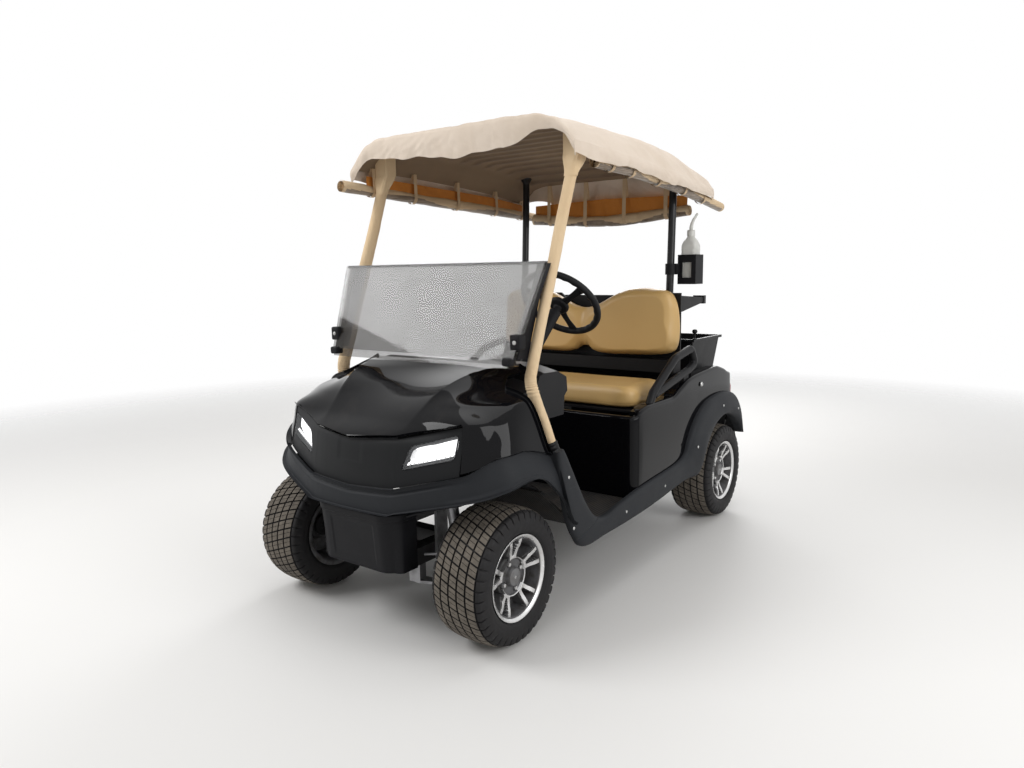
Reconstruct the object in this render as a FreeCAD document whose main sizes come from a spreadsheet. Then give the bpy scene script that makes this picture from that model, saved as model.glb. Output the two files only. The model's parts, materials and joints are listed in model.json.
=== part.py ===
import FreeCAD, Part
import Sketcher
import math
import os

# Two-seat electric golf cart. Millimetres, +Z up, the front faces -Y and the driver sits on +X.
# The origin lies on the ground under the middle of the length and the width.

doc = FreeCAD.newDocument("golf_cart")
sheet = doc.addObject("Spreadsheet::Sheet", "sizes")

SIZES = [
    ("wheelbase", 1664),
    ("front_overhang", 253),
    ("rear_overhang", 403),
    ("front_track", 876),
    ("rear_track", 978),
    ("body_width", 1150),
    ("flare_reach", 25),
    ("roof_height", 1765),
    ("roof_side_gap", 35),
    ("roof_front_reach", 332),
    ("roof_rear_reach", 122),
    ("roof_wall", 6),
    ("cover_wall", 4),
    ("hem_drop", 45),
    ("tyre_radius", 230),
    ("tyre_width", 205),
    ("tyre_wall", 13),
    ("rim_seat_radius", 128),
    ("rim_flange_height", 16),
    ("rim_width", 178),
    ("rim_wall", 5),
    ("spoke_depth", 22),
    ("hub_radius", 58),
    ("spindle_radius", 13),
    ("fit_gap", 0.3),
    ("kingpin_offset", 38),
    ("kingpin_radius", 16),
    ("steering_arm", 65),
    ("rail_spacing", 330),
    ("rail_width", 50),
    ("rail_height", 60),
    ("floor_height", 300),
    ("floor_wall", 6),
    ("panel_wall", 4),
    ("seam_gap", 0.6),
    ("lip_height", 675),
    ("hood_height", 885),
    ("seat_height", 640),
    ("seat_side_gap", 77),
    ("cushion_thickness", 95),
    ("back_thickness", 78),
    ("back_height", 320),
    ("back_bottom", 822),
    ("strut_radius", 17),
    ("sleeve_wall", 5),
    ("strut_side_gap", 106),
    ("rear_strut_side_gap", 165),
    ("glass_wall", 5),
    ("glass_side_gap", 89),
    ("glass_taper", 46),
    ("wheel_hand_radius", 175),
    ("wheel_grip_radius", 14),
    ("column_angle", 42),
    ("axle_tube_radius", 32),
    ("basket_depth", 340),
    ("basket_height", 182),
    ("roll_radius", 24),
    ("bumper_wall", 12),
]
for row, (alias, value) in enumerate(SIZES, start=1):
    sheet.set("A%d" % row, alias)
    sheet.set("B%d" % row, str(value))
    sheet.setAlias("B%d" % row, alias)
doc.recompute()


class Size:
    """A number together with the spreadsheet expression that gives it."""

    def __init__(self, value, text):
        self.value = float(value)
        self.text = text

    def __float__(self):
        return self.value

    def __add__(self, other):
        other = sized(other)
        return Size(self.value + other.value, "(%s + %s)" % (self.text, other.text))

    def __radd__(self, other):
        return sized(other) + self

    def __sub__(self, other):
        other = sized(other)
        return Size(self.value - other.value, "(%s - %s)" % (self.text, other.text))

    def __rsub__(self, other):
        return sized(other) - self

    def __mul__(self, other):
        other = sized(other)
        return Size(self.value * other.value, "(%s * %s)" % (self.text, other.text))

    def __rmul__(self, other):
        return sized(other) * self

    def __truediv__(self, other):
        other = sized(other)
        return Size(self.value / other.value, "(%s / %s)" % (self.text, other.text))

    def __neg__(self):
        return Size(-self.value, "(0 - %s)" % self.text)


def sized(number):
    if isinstance(number, Size):
        return number
    return Size(number, "(%.4f)" % number if number >= 0 else "(0 - %.4f)" % -number)


def get(alias):
    return Size(sheet.get(alias), "sizes." + alias)


def vec(x, y, z):
    return FreeCAD.Vector(float(x), float(y), float(z))


wheelbase = get("wheelbase")
front_overhang = get("front_overhang")
rear_overhang = get("rear_overhang")
front_track = get("front_track")
rear_track = get("rear_track")
half_body = get("body_width") / 2
flare_reach = get("flare_reach")
roof_height = get("roof_height")
roof_half_width = half_body - get("roof_side_gap")
roof_front_reach = get("roof_front_reach")
roof_rear_reach = get("roof_rear_reach")
roof_wall = get("roof_wall")
cover_wall = get("cover_wall")
hem_drop = get("hem_drop")
tyre_radius = get("tyre_radius")
tyre_width = get("tyre_width")
tyre_wall = get("tyre_wall")
rim_seat_radius = get("rim_seat_radius")
rim_flange_height = get("rim_flange_height")
rim_width = get("rim_width")
rim_wall = get("rim_wall")
spoke_depth = get("spoke_depth")
hub_radius = get("hub_radius")
spindle_radius = get("spindle_radius")
fit_gap = get("fit_gap")
kingpin_offset = get("kingpin_offset")
kingpin_radius = get("kingpin_radius")
steering_arm = get("steering_arm")
rail_spacing = get("rail_spacing")
rail_width = get("rail_width")
rail_height = get("rail_height")
floor_height = get("floor_height")
floor_wall = get("floor_wall")
panel_wall = get("panel_wall")
seam_gap = get("seam_gap")
lip_height = get("lip_height")
hood_height = get("hood_height")
seat_height = get("seat_height")
seat_half_width = half_body - get("seat_side_gap")
cushion_thickness = get("cushion_thickness")
back_thickness = get("back_thickness")
back_height = get("back_height")
back_bottom = get("back_bottom")
strut_radius = get("strut_radius")
sleeve_wall = get("sleeve_wall")
strut_half_spacing = half_body - get("strut_side_gap")
rear_strut_half_spacing = half_body - get("rear_strut_side_gap")
glass_wall = get("glass_wall")
glass_half_width = half_body - get("glass_side_gap")
glass_low_half = glass_half_width - get("glass_taper")
wheel_hand_radius = get("wheel_hand_radius")
wheel_grip_radius = get("wheel_grip_radius")
column_angle = get("column_angle")
axle_tube_radius = get("axle_tube_radius")
basket_depth = get("basket_depth")
basket_height = get("basket_height")
roll_radius = get("roll_radius")
bumper_wall = get("bumper_wall")

half_length = (front_overhang + wheelbase + rear_overhang) / 2
front_axle = front_overhang - half_length
rear_axle = half_length - rear_overhang
hub_height = tyre_radius

nodes = []


def new_body(label):
    body = doc.addObject("PartDesign::Body", label)
    body.Label = label
    nodes.append(body)
    return body


def feature(label, shape):
    item = doc.addObject("Part::Feature", label)
    item.Label = label
    item.Shape = shape
    item.Placement = FreeCAD.Placement()
    nodes.append(item)
    return item


def origin_plane(body, role):
    return [item for item in body.Origin.OriginFeatures if item.Role == role][0]


def attached_sketch(body, role, offset):
    """A sketch parallel to an origin plane, at the coordinate offset along X, Y or Z."""
    sketch = body.newObject("Sketcher::SketchObject", "sketch")
    sketch.AttachmentSupport = [(origin_plane(body, role), "")]
    sketch.MapMode = "FlatFace"
    shift = -sized(offset) if role == "XZ_Plane" else sized(offset)
    sketch.AttachmentOffset = FreeCAD.Placement(vec(0, 0, shift), FreeCAD.Rotation())
    sketch.setExpression("AttachmentOffset.Base.z", shift.text)
    return sketch


def place_point(sketch, geometry, corner, point):
    for kind, value in (("DistanceX", sized(point[0])), ("DistanceY", sized(point[1]))):
        number = sketch.addConstraint(Sketcher.Constraint(kind, -1, 1, geometry, corner, value.value))
        sketch.setExpression("Constraints[%d]" % number, value.text)


def polygon_sketch(body, role, points, offset=0):
    """A closed outline whose corners are held by distances from the origin."""
    sketch = attached_sketch(body, role, offset)
    count = len(points)
    for index in range(count):
        start = vec(points[index][0], points[index][1], 0)
        end = vec(points[(index + 1) % count][0], points[(index + 1) % count][1], 0)
        sketch.addGeometry(Part.LineSegment(start, end), False)
    for index in range(count):
        sketch.addConstraint(Sketcher.Constraint("Coincident", index, 2, (index + 1) % count, 1))
    for index in range(count):
        place_point(sketch, index, 1, points[index])
    return sketch


def circle_sketch(body, role, centre, radius, offset=0):
    sketch = attached_sketch(body, role, offset)
    radius = sized(radius)
    circle = Part.Circle(vec(centre[0], centre[1], 0), FreeCAD.Vector(0, 0, 1), radius.value)
    sketch.addGeometry(circle, False)
    place_point(sketch, 0, 3, centre)
    number = sketch.addConstraint(Sketcher.Constraint("Radius", 0, radius.value))
    sketch.setExpression("Constraints[%d]" % number, radius.text)
    return sketch


def extrude(body, kind, sketch, length, backwards=False):
    length = sized(length)
    item = body.newObject("PartDesign::" + kind, kind.lower())
    item.Profile = sketch
    item.Length = length.value
    item.setExpression("Length", length.text)
    item.Reversed = backwards
    return item


def start_of(role, low, high):
    """Where the sketch stands so that a pad along its normal fills low to high."""
    return sized(high) if role == "XZ_Plane" else sized(low)


def pad(body, role, points, low, high):
    sketch = polygon_sketch(body, role, points, start_of(role, low, high))
    return extrude(body, "Pad", sketch, sized(high) - low)


def pocket(body, role, points, low, high):
    sketch = polygon_sketch(body, role, points, start_of(role, low, high))
    return extrude(body, "Pocket", sketch, sized(high) - low, True)


def round_pad(body, role, centre, radius, low, high):
    sketch = circle_sketch(body, role, centre, radius, start_of(role, low, high))
    return extrude(body, "Pad", sketch, sized(high) - low)


def round_pocket(body, role, centre, radius, low, high):
    sketch = circle_sketch(body, role, centre, radius, start_of(role, low, high))
    return extrude(body, "Pocket", sketch, sized(high) - low, True)


def box_points(x_low, x_high, z_low, z_high):
    return [(x_low, z_low), (x_high, z_low), (x_high, z_high), (x_low, z_high)]


def revolve(body, points):
    """A ring about the body's own X axis: each corner is (x, radius)."""
    sketch = polygon_sketch(body, "XY_Plane", points)
    item = body.newObject("PartDesign::Revolution", "revolution")
    item.Profile = sketch
    item.ReferenceAxis = (sketch, ["H_Axis"])
    item.Angle = 360
    return item


def put(body, x, y, z):
    for axis, value in (("x", sized(x)), ("y", sized(y)), ("z", sized(z))):
        body.setExpression("Placement.Base." + axis, value.text)
    body.Placement = FreeCAD.Placement(vec(x, y, z), body.Placement.Rotation)


def wire_of(points):
    corners = [vec(*point) for point in points]
    return Part.makePolygon(corners + [corners[0]])


def loft(sections, ruled=True):
    """A closed solid through outlines with the same number of corners."""
    return Part.makeLoft([wire_of(points) for points in sections], True, ruled)


def prism(role, points, low, high):
    """An outline given in X and Z, Y and Z or X and Y, pushed out between two values."""
    low, high = float(low), float(high)
    if role == "XZ":
        corners = [vec(u, low, v) for u, v in points]
        way = FreeCAD.Vector(0, high - low, 0)
    elif role == "YZ":
        corners = [vec(low, u, v) for u, v in points]
        way = FreeCAD.Vector(high - low, 0, 0)
    else:
        corners = [vec(u, v, low) for u, v in points]
        way = FreeCAD.Vector(0, 0, high - low)
    return Part.Face(Part.makePolygon(corners + [corners[0]])).extrude(way)


def block(x_low, x_high, y_low, y_high, z_low, z_high):
    size = vec(sized(x_high) - x_low, sized(y_high) - y_low, sized(z_high) - z_low)
    return Part.makeBox(size.x, size.y, size.z, vec(x_low, y_low, z_low))


def rod(start, end, radius):
    start, end = vec(*start), vec(*end)
    way = end - start
    return Part.makeCylinder(float(radius), way.Length, start, way)


def bent_tube(points, radius, bend, bore=0):
    """A round tube along straight runs that are joined by tangent arcs."""
    corners = [vec(*point) for point in points]
    edges = []
    last = corners[0]
    for index in range(1, len(corners) - 1):
        before = (corners[index - 1] - corners[index]).normalize()
        after = (corners[index + 1] - corners[index]).normalize()
        half = before.getAngle(after) / 2
        reach = float(bend) / math.tan(half)
        start = corners[index] + before * reach
        end = corners[index] + after * reach
        middle_way = (before + after).normalize()
        centre = corners[index] + middle_way * (float(bend) / math.sin(half))
        middle = centre - middle_way * float(bend)
        edges.append(Part.LineSegment(last, start).toShape())
        edges.append(Part.Arc(start, middle, end).toShape())
        last = end
    edges.append(Part.LineSegment(last, corners[-1]).toShape())
    path = Part.Wire(edges)
    way = (corners[1] - corners[0]).normalize()
    ring = Part.Wire([Part.makeCircle(float(radius), corners[0], way)])
    tube = path.makePipeShell([ring], True, False)
    if float(bore) > 0:
        inner_ring = Part.Wire([Part.makeCircle(float(bore), corners[0], way)])
        tube = tube.cut(path.makePipeShell([inner_ring], True, False))
    return tube


def flip(shape):
    return shape.mirror(FreeCAD.Vector(0, 0, 0), FreeCAD.Vector(1, 0, 0))


def pair(shape):
    return Part.makeCompound([shape, flip(shape)])


def joined(shapes):
    return shapes[0].fuse(shapes[1:]).removeSplitter()


# Wheels. Each ring turns about X in its own frame and is placed on its hub.
def make_tyre(label, x, y):
    body = new_body(label)
    half = tyre_width / 2
    bead = rim_seat_radius + fit_gap
    flange = rim_seat_radius + rim_flange_height
    seat = rim_width / 2 - 5
    outer = [
        (-seat, bead), (-seat, flange + 1), (-half + 8, flange + 4), (-half, tyre_radius - 50), (-half + 6, tyre_radius - 14),
        (-half + 22, tyre_radius - 3), (-half + 45, tyre_radius), (half - 45, tyre_radius),
        (half - 22, tyre_radius - 3), (half - 6, tyre_radius - 14), (half, tyre_radius - 50),
        (half - 8, flange + 4), (seat, flange + 1), (seat, bead),
    ]
    inner = [
        (seat - tyre_wall, bead), (half - tyre_wall - 6, flange + 6), (half - tyre_wall, tyre_radius - 50),
        (half - tyre_wall - 16, tyre_radius - tyre_wall - 6), (-half + tyre_wall + 16, tyre_radius - tyre_wall - 6),
        (-half + tyre_wall, tyre_radius - 50), (-half + tyre_wall + 6, flange + 6), (-seat + tyre_wall, bead),
    ]
    revolve(body, outer + inner)
    put(body, x, y, hub_height)
    return body


SPOKE = [(13, 45), (15, 64), (35, 120.5), (21, 123.7), (5, 72),
         (-5, 72), (-21, 123.7), (-35, 120.5), (-15, 64), (-13, 45)]


def make_rim(label, x, y, side):
    body = new_body(label)
    half = rim_width / 2
    top = rim_seat_radius + rim_flange_height
    low = rim_seat_radius - rim_wall
    lip = half + rim_wall
    barrel = [
        (-lip, top), (-half, top), (-half + 4, rim_seat_radius), (half - 4, rim_seat_radius),
        (half, top), (lip, top), (lip, top - 6), (half, low), (-half, low), (-lip, top - 6),
    ]
    revolve(body, barrel)
    scale = rim_seat_radius / 128
    face = half - 18
    points = [(scale * u, scale * v) for u, v in SPOKE]
    low_x = face - spoke_depth if side > 0 else -face
    high_x = face if side > 0 else -face + spoke_depth
    spoke = pad(body, "YZ_Plane", points, low_x, high_x)
    pattern = body.newObject("PartDesign::PolarPattern", "spokes")
    pattern.Originals = [spoke]
    pattern.Axis = (origin_plane(body, "X_Axis"), [""])
    pattern.Angle = 360
    pattern.Occurrences = 5
    body.Tip = pattern
    hub_low = face - spoke_depth - 14 if side > 0 else -face + 2
    hub_high = face - 2 if side > 0 else -face + spoke_depth + 14
    round_pad(body, "YZ_Plane", (0, 0), hub_radius, hub_low, hub_high)
    bore_low = face - spoke_depth - 14 if side > 0 else -face + 10
    bore_high = face - 10 if side > 0 else -face + spoke_depth + 14
    round_pocket(body, "YZ_Plane", (0, 0), spindle_radius + fit_gap, bore_low, bore_high)
    put(body, x, y, hub_height)
    return body


for name, side, x, y in (
    ("front_left", 1, front_track / 2, front_axle), ("front_right", -1, -front_track / 2, front_axle),
    ("rear_left", 1, rear_track / 2, rear_axle), ("rear_right", -1, -rear_track / 2, rear_axle),
):
    make_tyre("tyre_" + name, x, y)
    make_rim("rim_" + name, x, y, side)

# Chassis: two box rails with a rise over the rear axle, and cross members between them.
tail = rear_axle + rear_overhang
rail_top = floor_height - floor_wall
rail_low = rail_top - rail_height
rise = hub_height + axle_tube_radius + 60
rail_side = [
    (front_axle - 160, rail_low), (rear_axle - 330, rail_low), (rear_axle - 230, rise),
    (tail - bumper_wall, rise), (tail - bumper_wall, rise + rail_height),
    (rear_axle - 250, rise + rail_height), (rear_axle - 350, rail_top), (front_axle - 160, rail_top),
]
inner_x = rail_spacing / 2 - rail_width / 2
outer_x = rail_spacing / 2 + rail_width / 2
rails = joined([
    prism("YZ", rail_side, inner_x, outer_x), prism("YZ", rail_side, -outer_x, -inner_x),
    block(-inner_x, inner_x, front_axle - 90, front_axle - 50, rail_low, rail_top),
    block(-inner_x, inner_x, front_axle + 50, front_axle + 100, rail_low, rail_top),
    block(-inner_x, inner_x, front_axle + 600, front_axle + 640, rail_low, rail_top),
    block(-inner_x, inner_x, rear_axle - 420, rear_axle - 380, rail_low, rail_top),
    block(-inner_x, inner_x, rear_axle + 150, rear_axle + 190, rise, rise + rail_height),
])
feature("frame_rails", rails)

# Floor: one bent sheet from under the seat to the top of the toe board.
floor_half = half_body - 25
floor_rear = rear_axle - 352
toe_front = front_axle + 382
toe_top_y = front_axle + 172
toe_top_z = floor_height + 170
floor_side = [
    (floor_rear, rail_top), (toe_front, rail_top), (toe_top_y, toe_top_z),
    (toe_top_y + 5, toe_top_z + 5), (toe_front + 3, floor_height), (floor_rear, floor_height),
]
floor = new_body("floor_pan")
pad(floor, "YZ_Plane", floor_side, -floor_half, floor_half)
FLOOR_RIBS = 9
rib_step = floor_half / 6
for number in range(FLOOR_RIBS):
    middle = rib_step * (number - (FLOOR_RIBS - 1) / 2)
    rib = [(middle - 9, toe_front + 30), (middle + 9, toe_front + 30),
           (middle + 9, rear_axle - 900), (middle - 9, rear_axle - 900)]
    pad(floor, "XY_Plane", rib, floor_height, floor_height + 2)
pocket(floor, "XY_Plane", box_points(-floor_half, -(half_body - 75), toe_top_y - 5, front_axle + 290),
       rail_top - 5, toe_top_z + 30)
pocket(floor, "XY_Plane", box_points(half_body - 75, floor_half, toe_top_y - 5, front_axle + 290),
       rail_top - 5, toe_top_z + 30)

# Front skin: plan outlines stacked from the bumper to the hood, split along the real seams.
# Each row is (height, then x and y of seven corners from the centre line to the cowl's rear edge).
skin_rear = front_axle + 262
SKIN = [
    (340, ((0, -253), (190, -243), (420, -163), (530, -80), (572, 0), (575, 130), (575, 0))),
    (530, ((0, -240), (190, -230), (415, -155), (520, -78), (560, 0), (562, 130), (558, 0))),
    (640, ((0, -232), (190, -214), (412, -137), (490, -72), (524, 0), (526, 130), (522, 0))),
    (676, ((0, -223), (190, -207), (408, -130), (480, -62), (514, 4), (518, 130), (516, 0))),
    (736, ((0, -135), (200, -140), (403, -118), (470, -40), (498, 30), (505, 140), (505, 0))),
    (786, ((0, -50), (216, -82), (330, -62), (425, 0), (474, 60), (488, 150), (490, 0))),
    (826, ((0, 45), (232, -30), (305, 20), (370, 95), (415, 140), (440, 190), (455, 0))),
    (866, ((0, 185), (262, 60), (300, 110), (322, 160), (345, 190), (368, 225), (390, 0))),
    (886, ((0, 232), (292, 150), (305, 175), (318, 195), (330, 215), (340, 240), (350, 0))),
]


def skin_outline(height, corners, inset):
    """The plan outline of the front skin at one height, moved inwards by inset."""
    left = []
    for number, (x, y) in enumerate(corners):
        side_x = half_body * (x / 575.0)
        moved_x = side_x - inset if number > 1 else side_x
        moved_y = front_axle + y + inset
        if number == 6:
            moved_y = skin_rear
        left.append((moved_x, moved_y))
    level = lip_height + (height - 675) * ((hood_height - lip_height) / 210) if height > 675 else sized(height)
    if height < 675:
        level = lip_height - (675 - height)
    points = [(x, y, level - (inset if height > 340 else 0)) for x, y in left]
    return points + [(-x, y, z) for x, y, z in reversed(points) if float(x) > 0]


def skin_solid(inset):
    return loft([skin_outline(height, corners, inset) for height, corners in SKIN])


skin_outer = skin_solid(sized(0))
skin_inner = skin_solid(panel_wall)
skin = skin_outer.cut(skin_inner)
deep = skin_outer.cut(skin_solid(panel_wall + 26))
# The rear edge of the skin leans forward up to the hood's corner, then runs back under the glass.
REAR_EDGE = [(262, 262), (237.4, 372), (181.4, 590), (171.4, 618), (118, 825), (170, 850), (262, 866), (300, 866),
             (300, 262)]
edge_points = [(front_axle + y, hood_height + z - 885) for y, z in REAR_EDGE]
skin = skin.cut([prism("YZ", edge_points, -700, 700), block(-700, 700, skin_rear - 1, skin_rear + 60, 250, 1000)])

wide = half_body + 50
hood_scale = (hood_height - lip_height) / 210
LIP = [(0, 0), (190, 15), (404, 62)]
BASE = [(0, -155), (190, -145), (415, -90)]


def over_lip(z):
    """A height above the hood's lip grows with the hood, and one below it stays."""
    return hood_scale * z if z > 0 else sized(z)


def front_line(table, shift, trim=0):
    right = [(half_body * (x / 575.0) - (trim if x > 400 else 0), lip_height + over_lip(z) + shift)
             for x, z in table]
    return [(-x, z) for x, z in reversed(right) if float(x) > 0] + right


fascia_window = front_line(BASE, seam_gap, seam_gap) + list(reversed(front_line(LIP, -seam_gap, seam_gap)))
fascia_zone = prism("XZ", fascia_window, front_axle - 300, front_axle - 60)
fascia_full = prism("XZ", front_line(BASE, 0) + list(reversed(front_line(LIP, 0))),
                    front_axle - 300, front_axle - 60)
LAMP = [(218, -84), (392, -40), (397, 38), (246, -4)]


def lamp_outline(grow):
    middle_x = sum(x for x, z in LAMP) / 4.0
    middle_z = sum(z for x, z in LAMP) / 4.0
    points = []
    for x, z in LAMP:
        out_x = grow if x > middle_x else -grow
        out_z = grow if z > middle_z else -grow
        points.append((half_body * (x / 575.0) + out_x, lip_height + over_lip(z) + out_z))
    return points


lamp_hole = prism("XZ", lamp_outline(0), front_axle - 300, front_axle - 60)
lamp_zone = prism("XZ", lamp_outline(-seam_gap), front_axle - 300, front_axle - 60)
fascia = skin.common(fascia_zone).cut([lamp_hole, flip(lamp_hole)])
feature("front_fascia", fascia)
lamp = deep.common(lamp_zone).common(block(0, 700, front_axle - 260, front_axle - 80, 500, 800))
feature("headlamp_left", lamp)
feature("headlamp_right", flip(lamp))

# The bumper keeps what lies under the fascia and under the flare line, outside the wheel arch.
ARCH = [(-175, 250), (-150, 270), (-68, 305), (12, 325), (92, 310), (182, 230), (242, 130), (300, 50)]
arch_side = [(front_axle - 600, hub_height + 270), (front_axle - 150, hub_height + 270)]
arch_side += [(front_axle + y, hub_height + z) for y, z in ARCH[2:]]
arch_side += [(front_axle + 300, 0), (front_axle - 600, 0)]
arch_left = prism("YZ", arch_side, half_body * (415 / 575.0) - 1, wide)
FLARE = [(-163, 352), (-68, 405), (32, 415), (132, 390), (172, 372), (226, 190), (262, 100)]
flare_top = [(front_axle + y, hub_height + z) for y, z in FLARE]
under_side = flare_top + [(front_axle + 262, 150), (front_axle - 400, 150), (front_axle - 400, hub_height + 352)]
split_x = half_body * (415 / 575.0)
under_flare = prism("YZ", under_side, split_x, wide)
under_front = prism("XZ", front_line(BASE, 0) + [(split_x, sized(150)), (-split_x, sized(150))],
                    front_axle - 400, skin_rear)
bumper_low = [(-split_x, lip_height - 175), (-190, lip_height - 230), (190, lip_height - 230),
              (split_x, lip_height - 175), (split_x, sized(200)), (-split_x, sized(200))]
under_all = under_front.fuse([under_flare, flip(under_flare)])
bumper = skin.common(under_all)
bumper = bumper.cut([arch_left, flip(arch_left), prism("XZ", bumper_low, front_axle - 400, skin_rear)])
bumper = bumper.cut(block(-split_x, split_x, front_axle - 60, skin_rear + 10, 100, lip_height))
feature("front_bumper", bumper)

cowl_cut = under_all.fuse(fascia_full)
cowl = skin.cut(cowl_cut)
thin = prism("XZ", front_line(LIP, -1) + list(reversed(front_line(LIP, seam_gap))),
             front_axle - 300, front_axle - 60)
cowl = cowl.cut(thin)
cowl = cowl.cut(block(-wide, wide, front_axle - 400, skin_rear + 10, 100, lip_height - 160))
feature("front_cowl", cowl)

# Wheel-arch liners: an arc of sheet over each front wheel, inside the front skin.
liner_radius = tyre_radius + 70
liner_low_x = rail_spacing / 2 + 75
liner_high_x = half_body - 82


def axle_drum(radius, x_low, x_high, y):
    return rod((x_low, y, hub_height), (x_high, y, hub_height), radius)


liner = axle_drum(liner_radius + 3, liner_low_x, liner_high_x, front_axle)
liner = liner.cut(axle_drum(liner_radius, liner_low_x - 5, liner_high_x + 5, front_axle))
liner = liner.common(block(0, 700, front_axle - 400, toe_top_y - fit_gap, hub_height + 150, 800))
liner = liner.common(skin_solid(panel_wall + fit_gap))
feature("fender_liner_left", liner)
feature("fender_liner_right", flip(liner))

# Lower front box, open behind, its sides against the rails.
box_top = rail_top + 140
box_low = rail_low - 6
box_half = outer_x + panel_wall
nose_y = front_axle - front_overhang


def front_box(wall, rear):
    top_half = box_half - wall
    low_half = box_half - wall
    top = [(-top_half, nose_y + 10 + wall, box_top - wall), (top_half, nose_y + 10 + wall, box_top - wall),
           (top_half, rear, box_top - wall), (-top_half, rear, box_top - wall)]
    low = [(-low_half, nose_y + 32 + wall, box_low + wall), (low_half, nose_y + 32 + wall, box_low + wall),
           (low_half, rear, box_low + wall), (-low_half, rear, box_low + wall)]
    return loft([low, top])


bumper_box = front_box(sized(0), front_axle - 125).cut(front_box(panel_wall, front_axle - 120))
bumper_box = bumper_box.cut(bumper)
feature("bumper_box", bumper_box)

# Firewall and dashboard.
dash_half = half_body - 142
dash_low = hood_height - 190
firewall = new_body("firewall")
pad(firewall, "YZ_Plane", [(toe_top_y, toe_top_z + 5), (toe_top_y + 5, toe_top_z + 5),
                           (toe_top_y + 5, dash_low), (toe_top_y, dash_low)], -dash_half, dash_half)
wheel_x = half_body - 325
wheel_y = front_axle + 692
wheel_z = hood_height + 205
tilt = math.radians(float(column_angle))


def along_column(distance):
    """A point on the steering axis, that far from the wheel's centre towards the driver."""
    return (wheel_x, wheel_y + distance * math.cos(tilt), wheel_z + distance * math.sin(tilt))


DASH = [(172, 0), (172, 130), (255, 150), (270, 184), (300, 194), (390, 190), (446, 160), (452, 100),
        (432, 80), (425, 0)]


column_reach = wheel_z - hood_height + 167


def dash_section(x, drop):
    return [(x, front_axle + y, dash_low + z * drop) for y, z in DASH]


column_foot = along_column(-float(column_reach))
column = rod(column_foot, along_column(-52), 24)
column_hole = rod(column_foot, along_column(-52), 24 + float(fit_gap))
dash = loft([dash_section(-dash_half, 0.86), dash_section(-dash_half + 110, 1.0),
             dash_section(dash_half - 110, 1.0), dash_section(dash_half, 0.86)])
for low_x, high_x in ((33 - dash_half, -150), (sized(-120), sized(120))):
    dash = dash.cut(block(low_x, high_x, front_axle + 300, front_axle + 470, dash_low + 20, dash_low + 92))
dash = dash.cut(block(33 - dash_half, 120, front_axle + 300, front_axle + 420, dash_low + 130,
                      hood_height + 70))
dash = dash.cut(column_hole)
feature("dashboard", dash)
feature("steering_column", column)

# Windshield: the lower pane and the upper pane folded down in front of it.
glass_low = hood_height + 44
glass_top = glass_low + 322
glass_low_y = front_axle + 98
# The struts run back by this share of their rise, and the glass leans a little more.
strut_lean = 0.37
glass_lean = strut_lean + 0.04


def lean_strip(shift, wall, low, top):
    """A strip of sheet in side view, along the lean of the windshield."""
    low_y = glass_low_y + (low - glass_low) * glass_lean + shift
    top_y = glass_low_y + (top - glass_low) * glass_lean + shift
    return [(low_y, low), (low_y + wall, low), (top_y + wall, top), (top_y, top)]


def make_pane(label, shift, low):
    """A flat pane along the lean, with side edges that run in towards its foot."""
    body = new_body(label)
    pad(body, "YZ_Plane", lean_strip(sized(shift), glass_wall, low, glass_top), -glass_half_width, glass_half_width)
    behind = front_axle + 400
    for side in (1, -1):
        corner = [(glass_low_half * side, low - 5), (glass_half_width * side, glass_top),
                  ((glass_half_width + 20) * side, glass_top), ((glass_half_width + 20) * side, low - 5)]
        pocket(body, "XZ_Plane", corner, front_axle, behind)
    return body


make_pane("windshield_upper", 0, glass_low)
make_pane("windshield_lower", 14, glass_low - 30)
clip_wall = 14 - glass_wall
clips = []
clip_edge = glass_low_half - 4
top_edge = glass_half_width - 4
for low_x, high_x, low_z, high_z in ((-clip_edge, 40 - clip_edge, 0, 60), (clip_edge - 40, clip_edge, 0, 60),
                                     (-top_edge, top_edge, 312, 322)):
    strip = lean_strip(glass_wall, clip_wall, glass_low + low_z, glass_low + high_z)
    clips.append(prism("YZ", strip, low_x, high_x))
feature("windshield_clips", Part.makeCompound(clips))

# Front struts with fabric sleeves, and the plates that carry the windshield on them.
roof_front_y = front_axle + roof_front_reach
roof_rear_y = rear_axle - roof_rear_reach
# How far the side edge and the crest lie under the roof's height, at equal steps from front to rear.
EDGE_DROP = (115, 120, 135, 155, 180)
CREST_DROP = (10, 0, 0, 15, 85)


def drop_at(table, y):
    """The drop at the length y, on straight lines between the table's steps."""
    share = (float(y) - float(roof_front_y)) / float(roof_rear_y - roof_front_y)
    place = min(max(share, 0.0), 1.0) * (len(table) - 1)
    step = min(int(place), len(table) - 2)
    return table[step] + (place - step) * (table[step + 1] - table[step])


def edge_z(y):
    """Height of the roof's side edge at the length y."""
    return float(roof_height) - float(fit_gap) - float(cover_wall) - drop_at(EDGE_DROP, y)


foot_x = half_body - 25 - strut_radius
strut_bend = (strut_half_spacing - 6, front_axle + 165, hood_height - 33)
strut_top_y = front_axle + 165 + strut_lean * (roof_height - 141 - strut_bend[2])
strut_top = (strut_half_spacing, strut_top_y, edge_z(strut_top_y) - 20)
strut_path = [(foot_x, front_axle + 240, 525), strut_bend, strut_top]
strut = bent_tube(strut_path, strut_radius, 90)


def between(start, end, share):
    return tuple(float(start[i]) + share * (float(end[i]) - float(start[i])) for i in range(3))


sleeve_path = [between(strut_path[0], strut_path[1], 0.24), strut_path[1],
               between(strut_path[1], strut_path[2], 0.95)]
sleeve = bent_tube(sleeve_path, strut_radius + sleeve_wall, 90, strut_radius + fit_gap)
feature("strut_sleeves", pair(sleeve))

# Roof: a crowned sheet that falls towards the rear, with a fabric cover over it.
# The crown's half width and the share of the rise that it has there.
CROWN = [(540, 0), (502, 0.45), (443, 0.82), (367, 0.98), (200, 1), (0, 1)]


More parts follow.
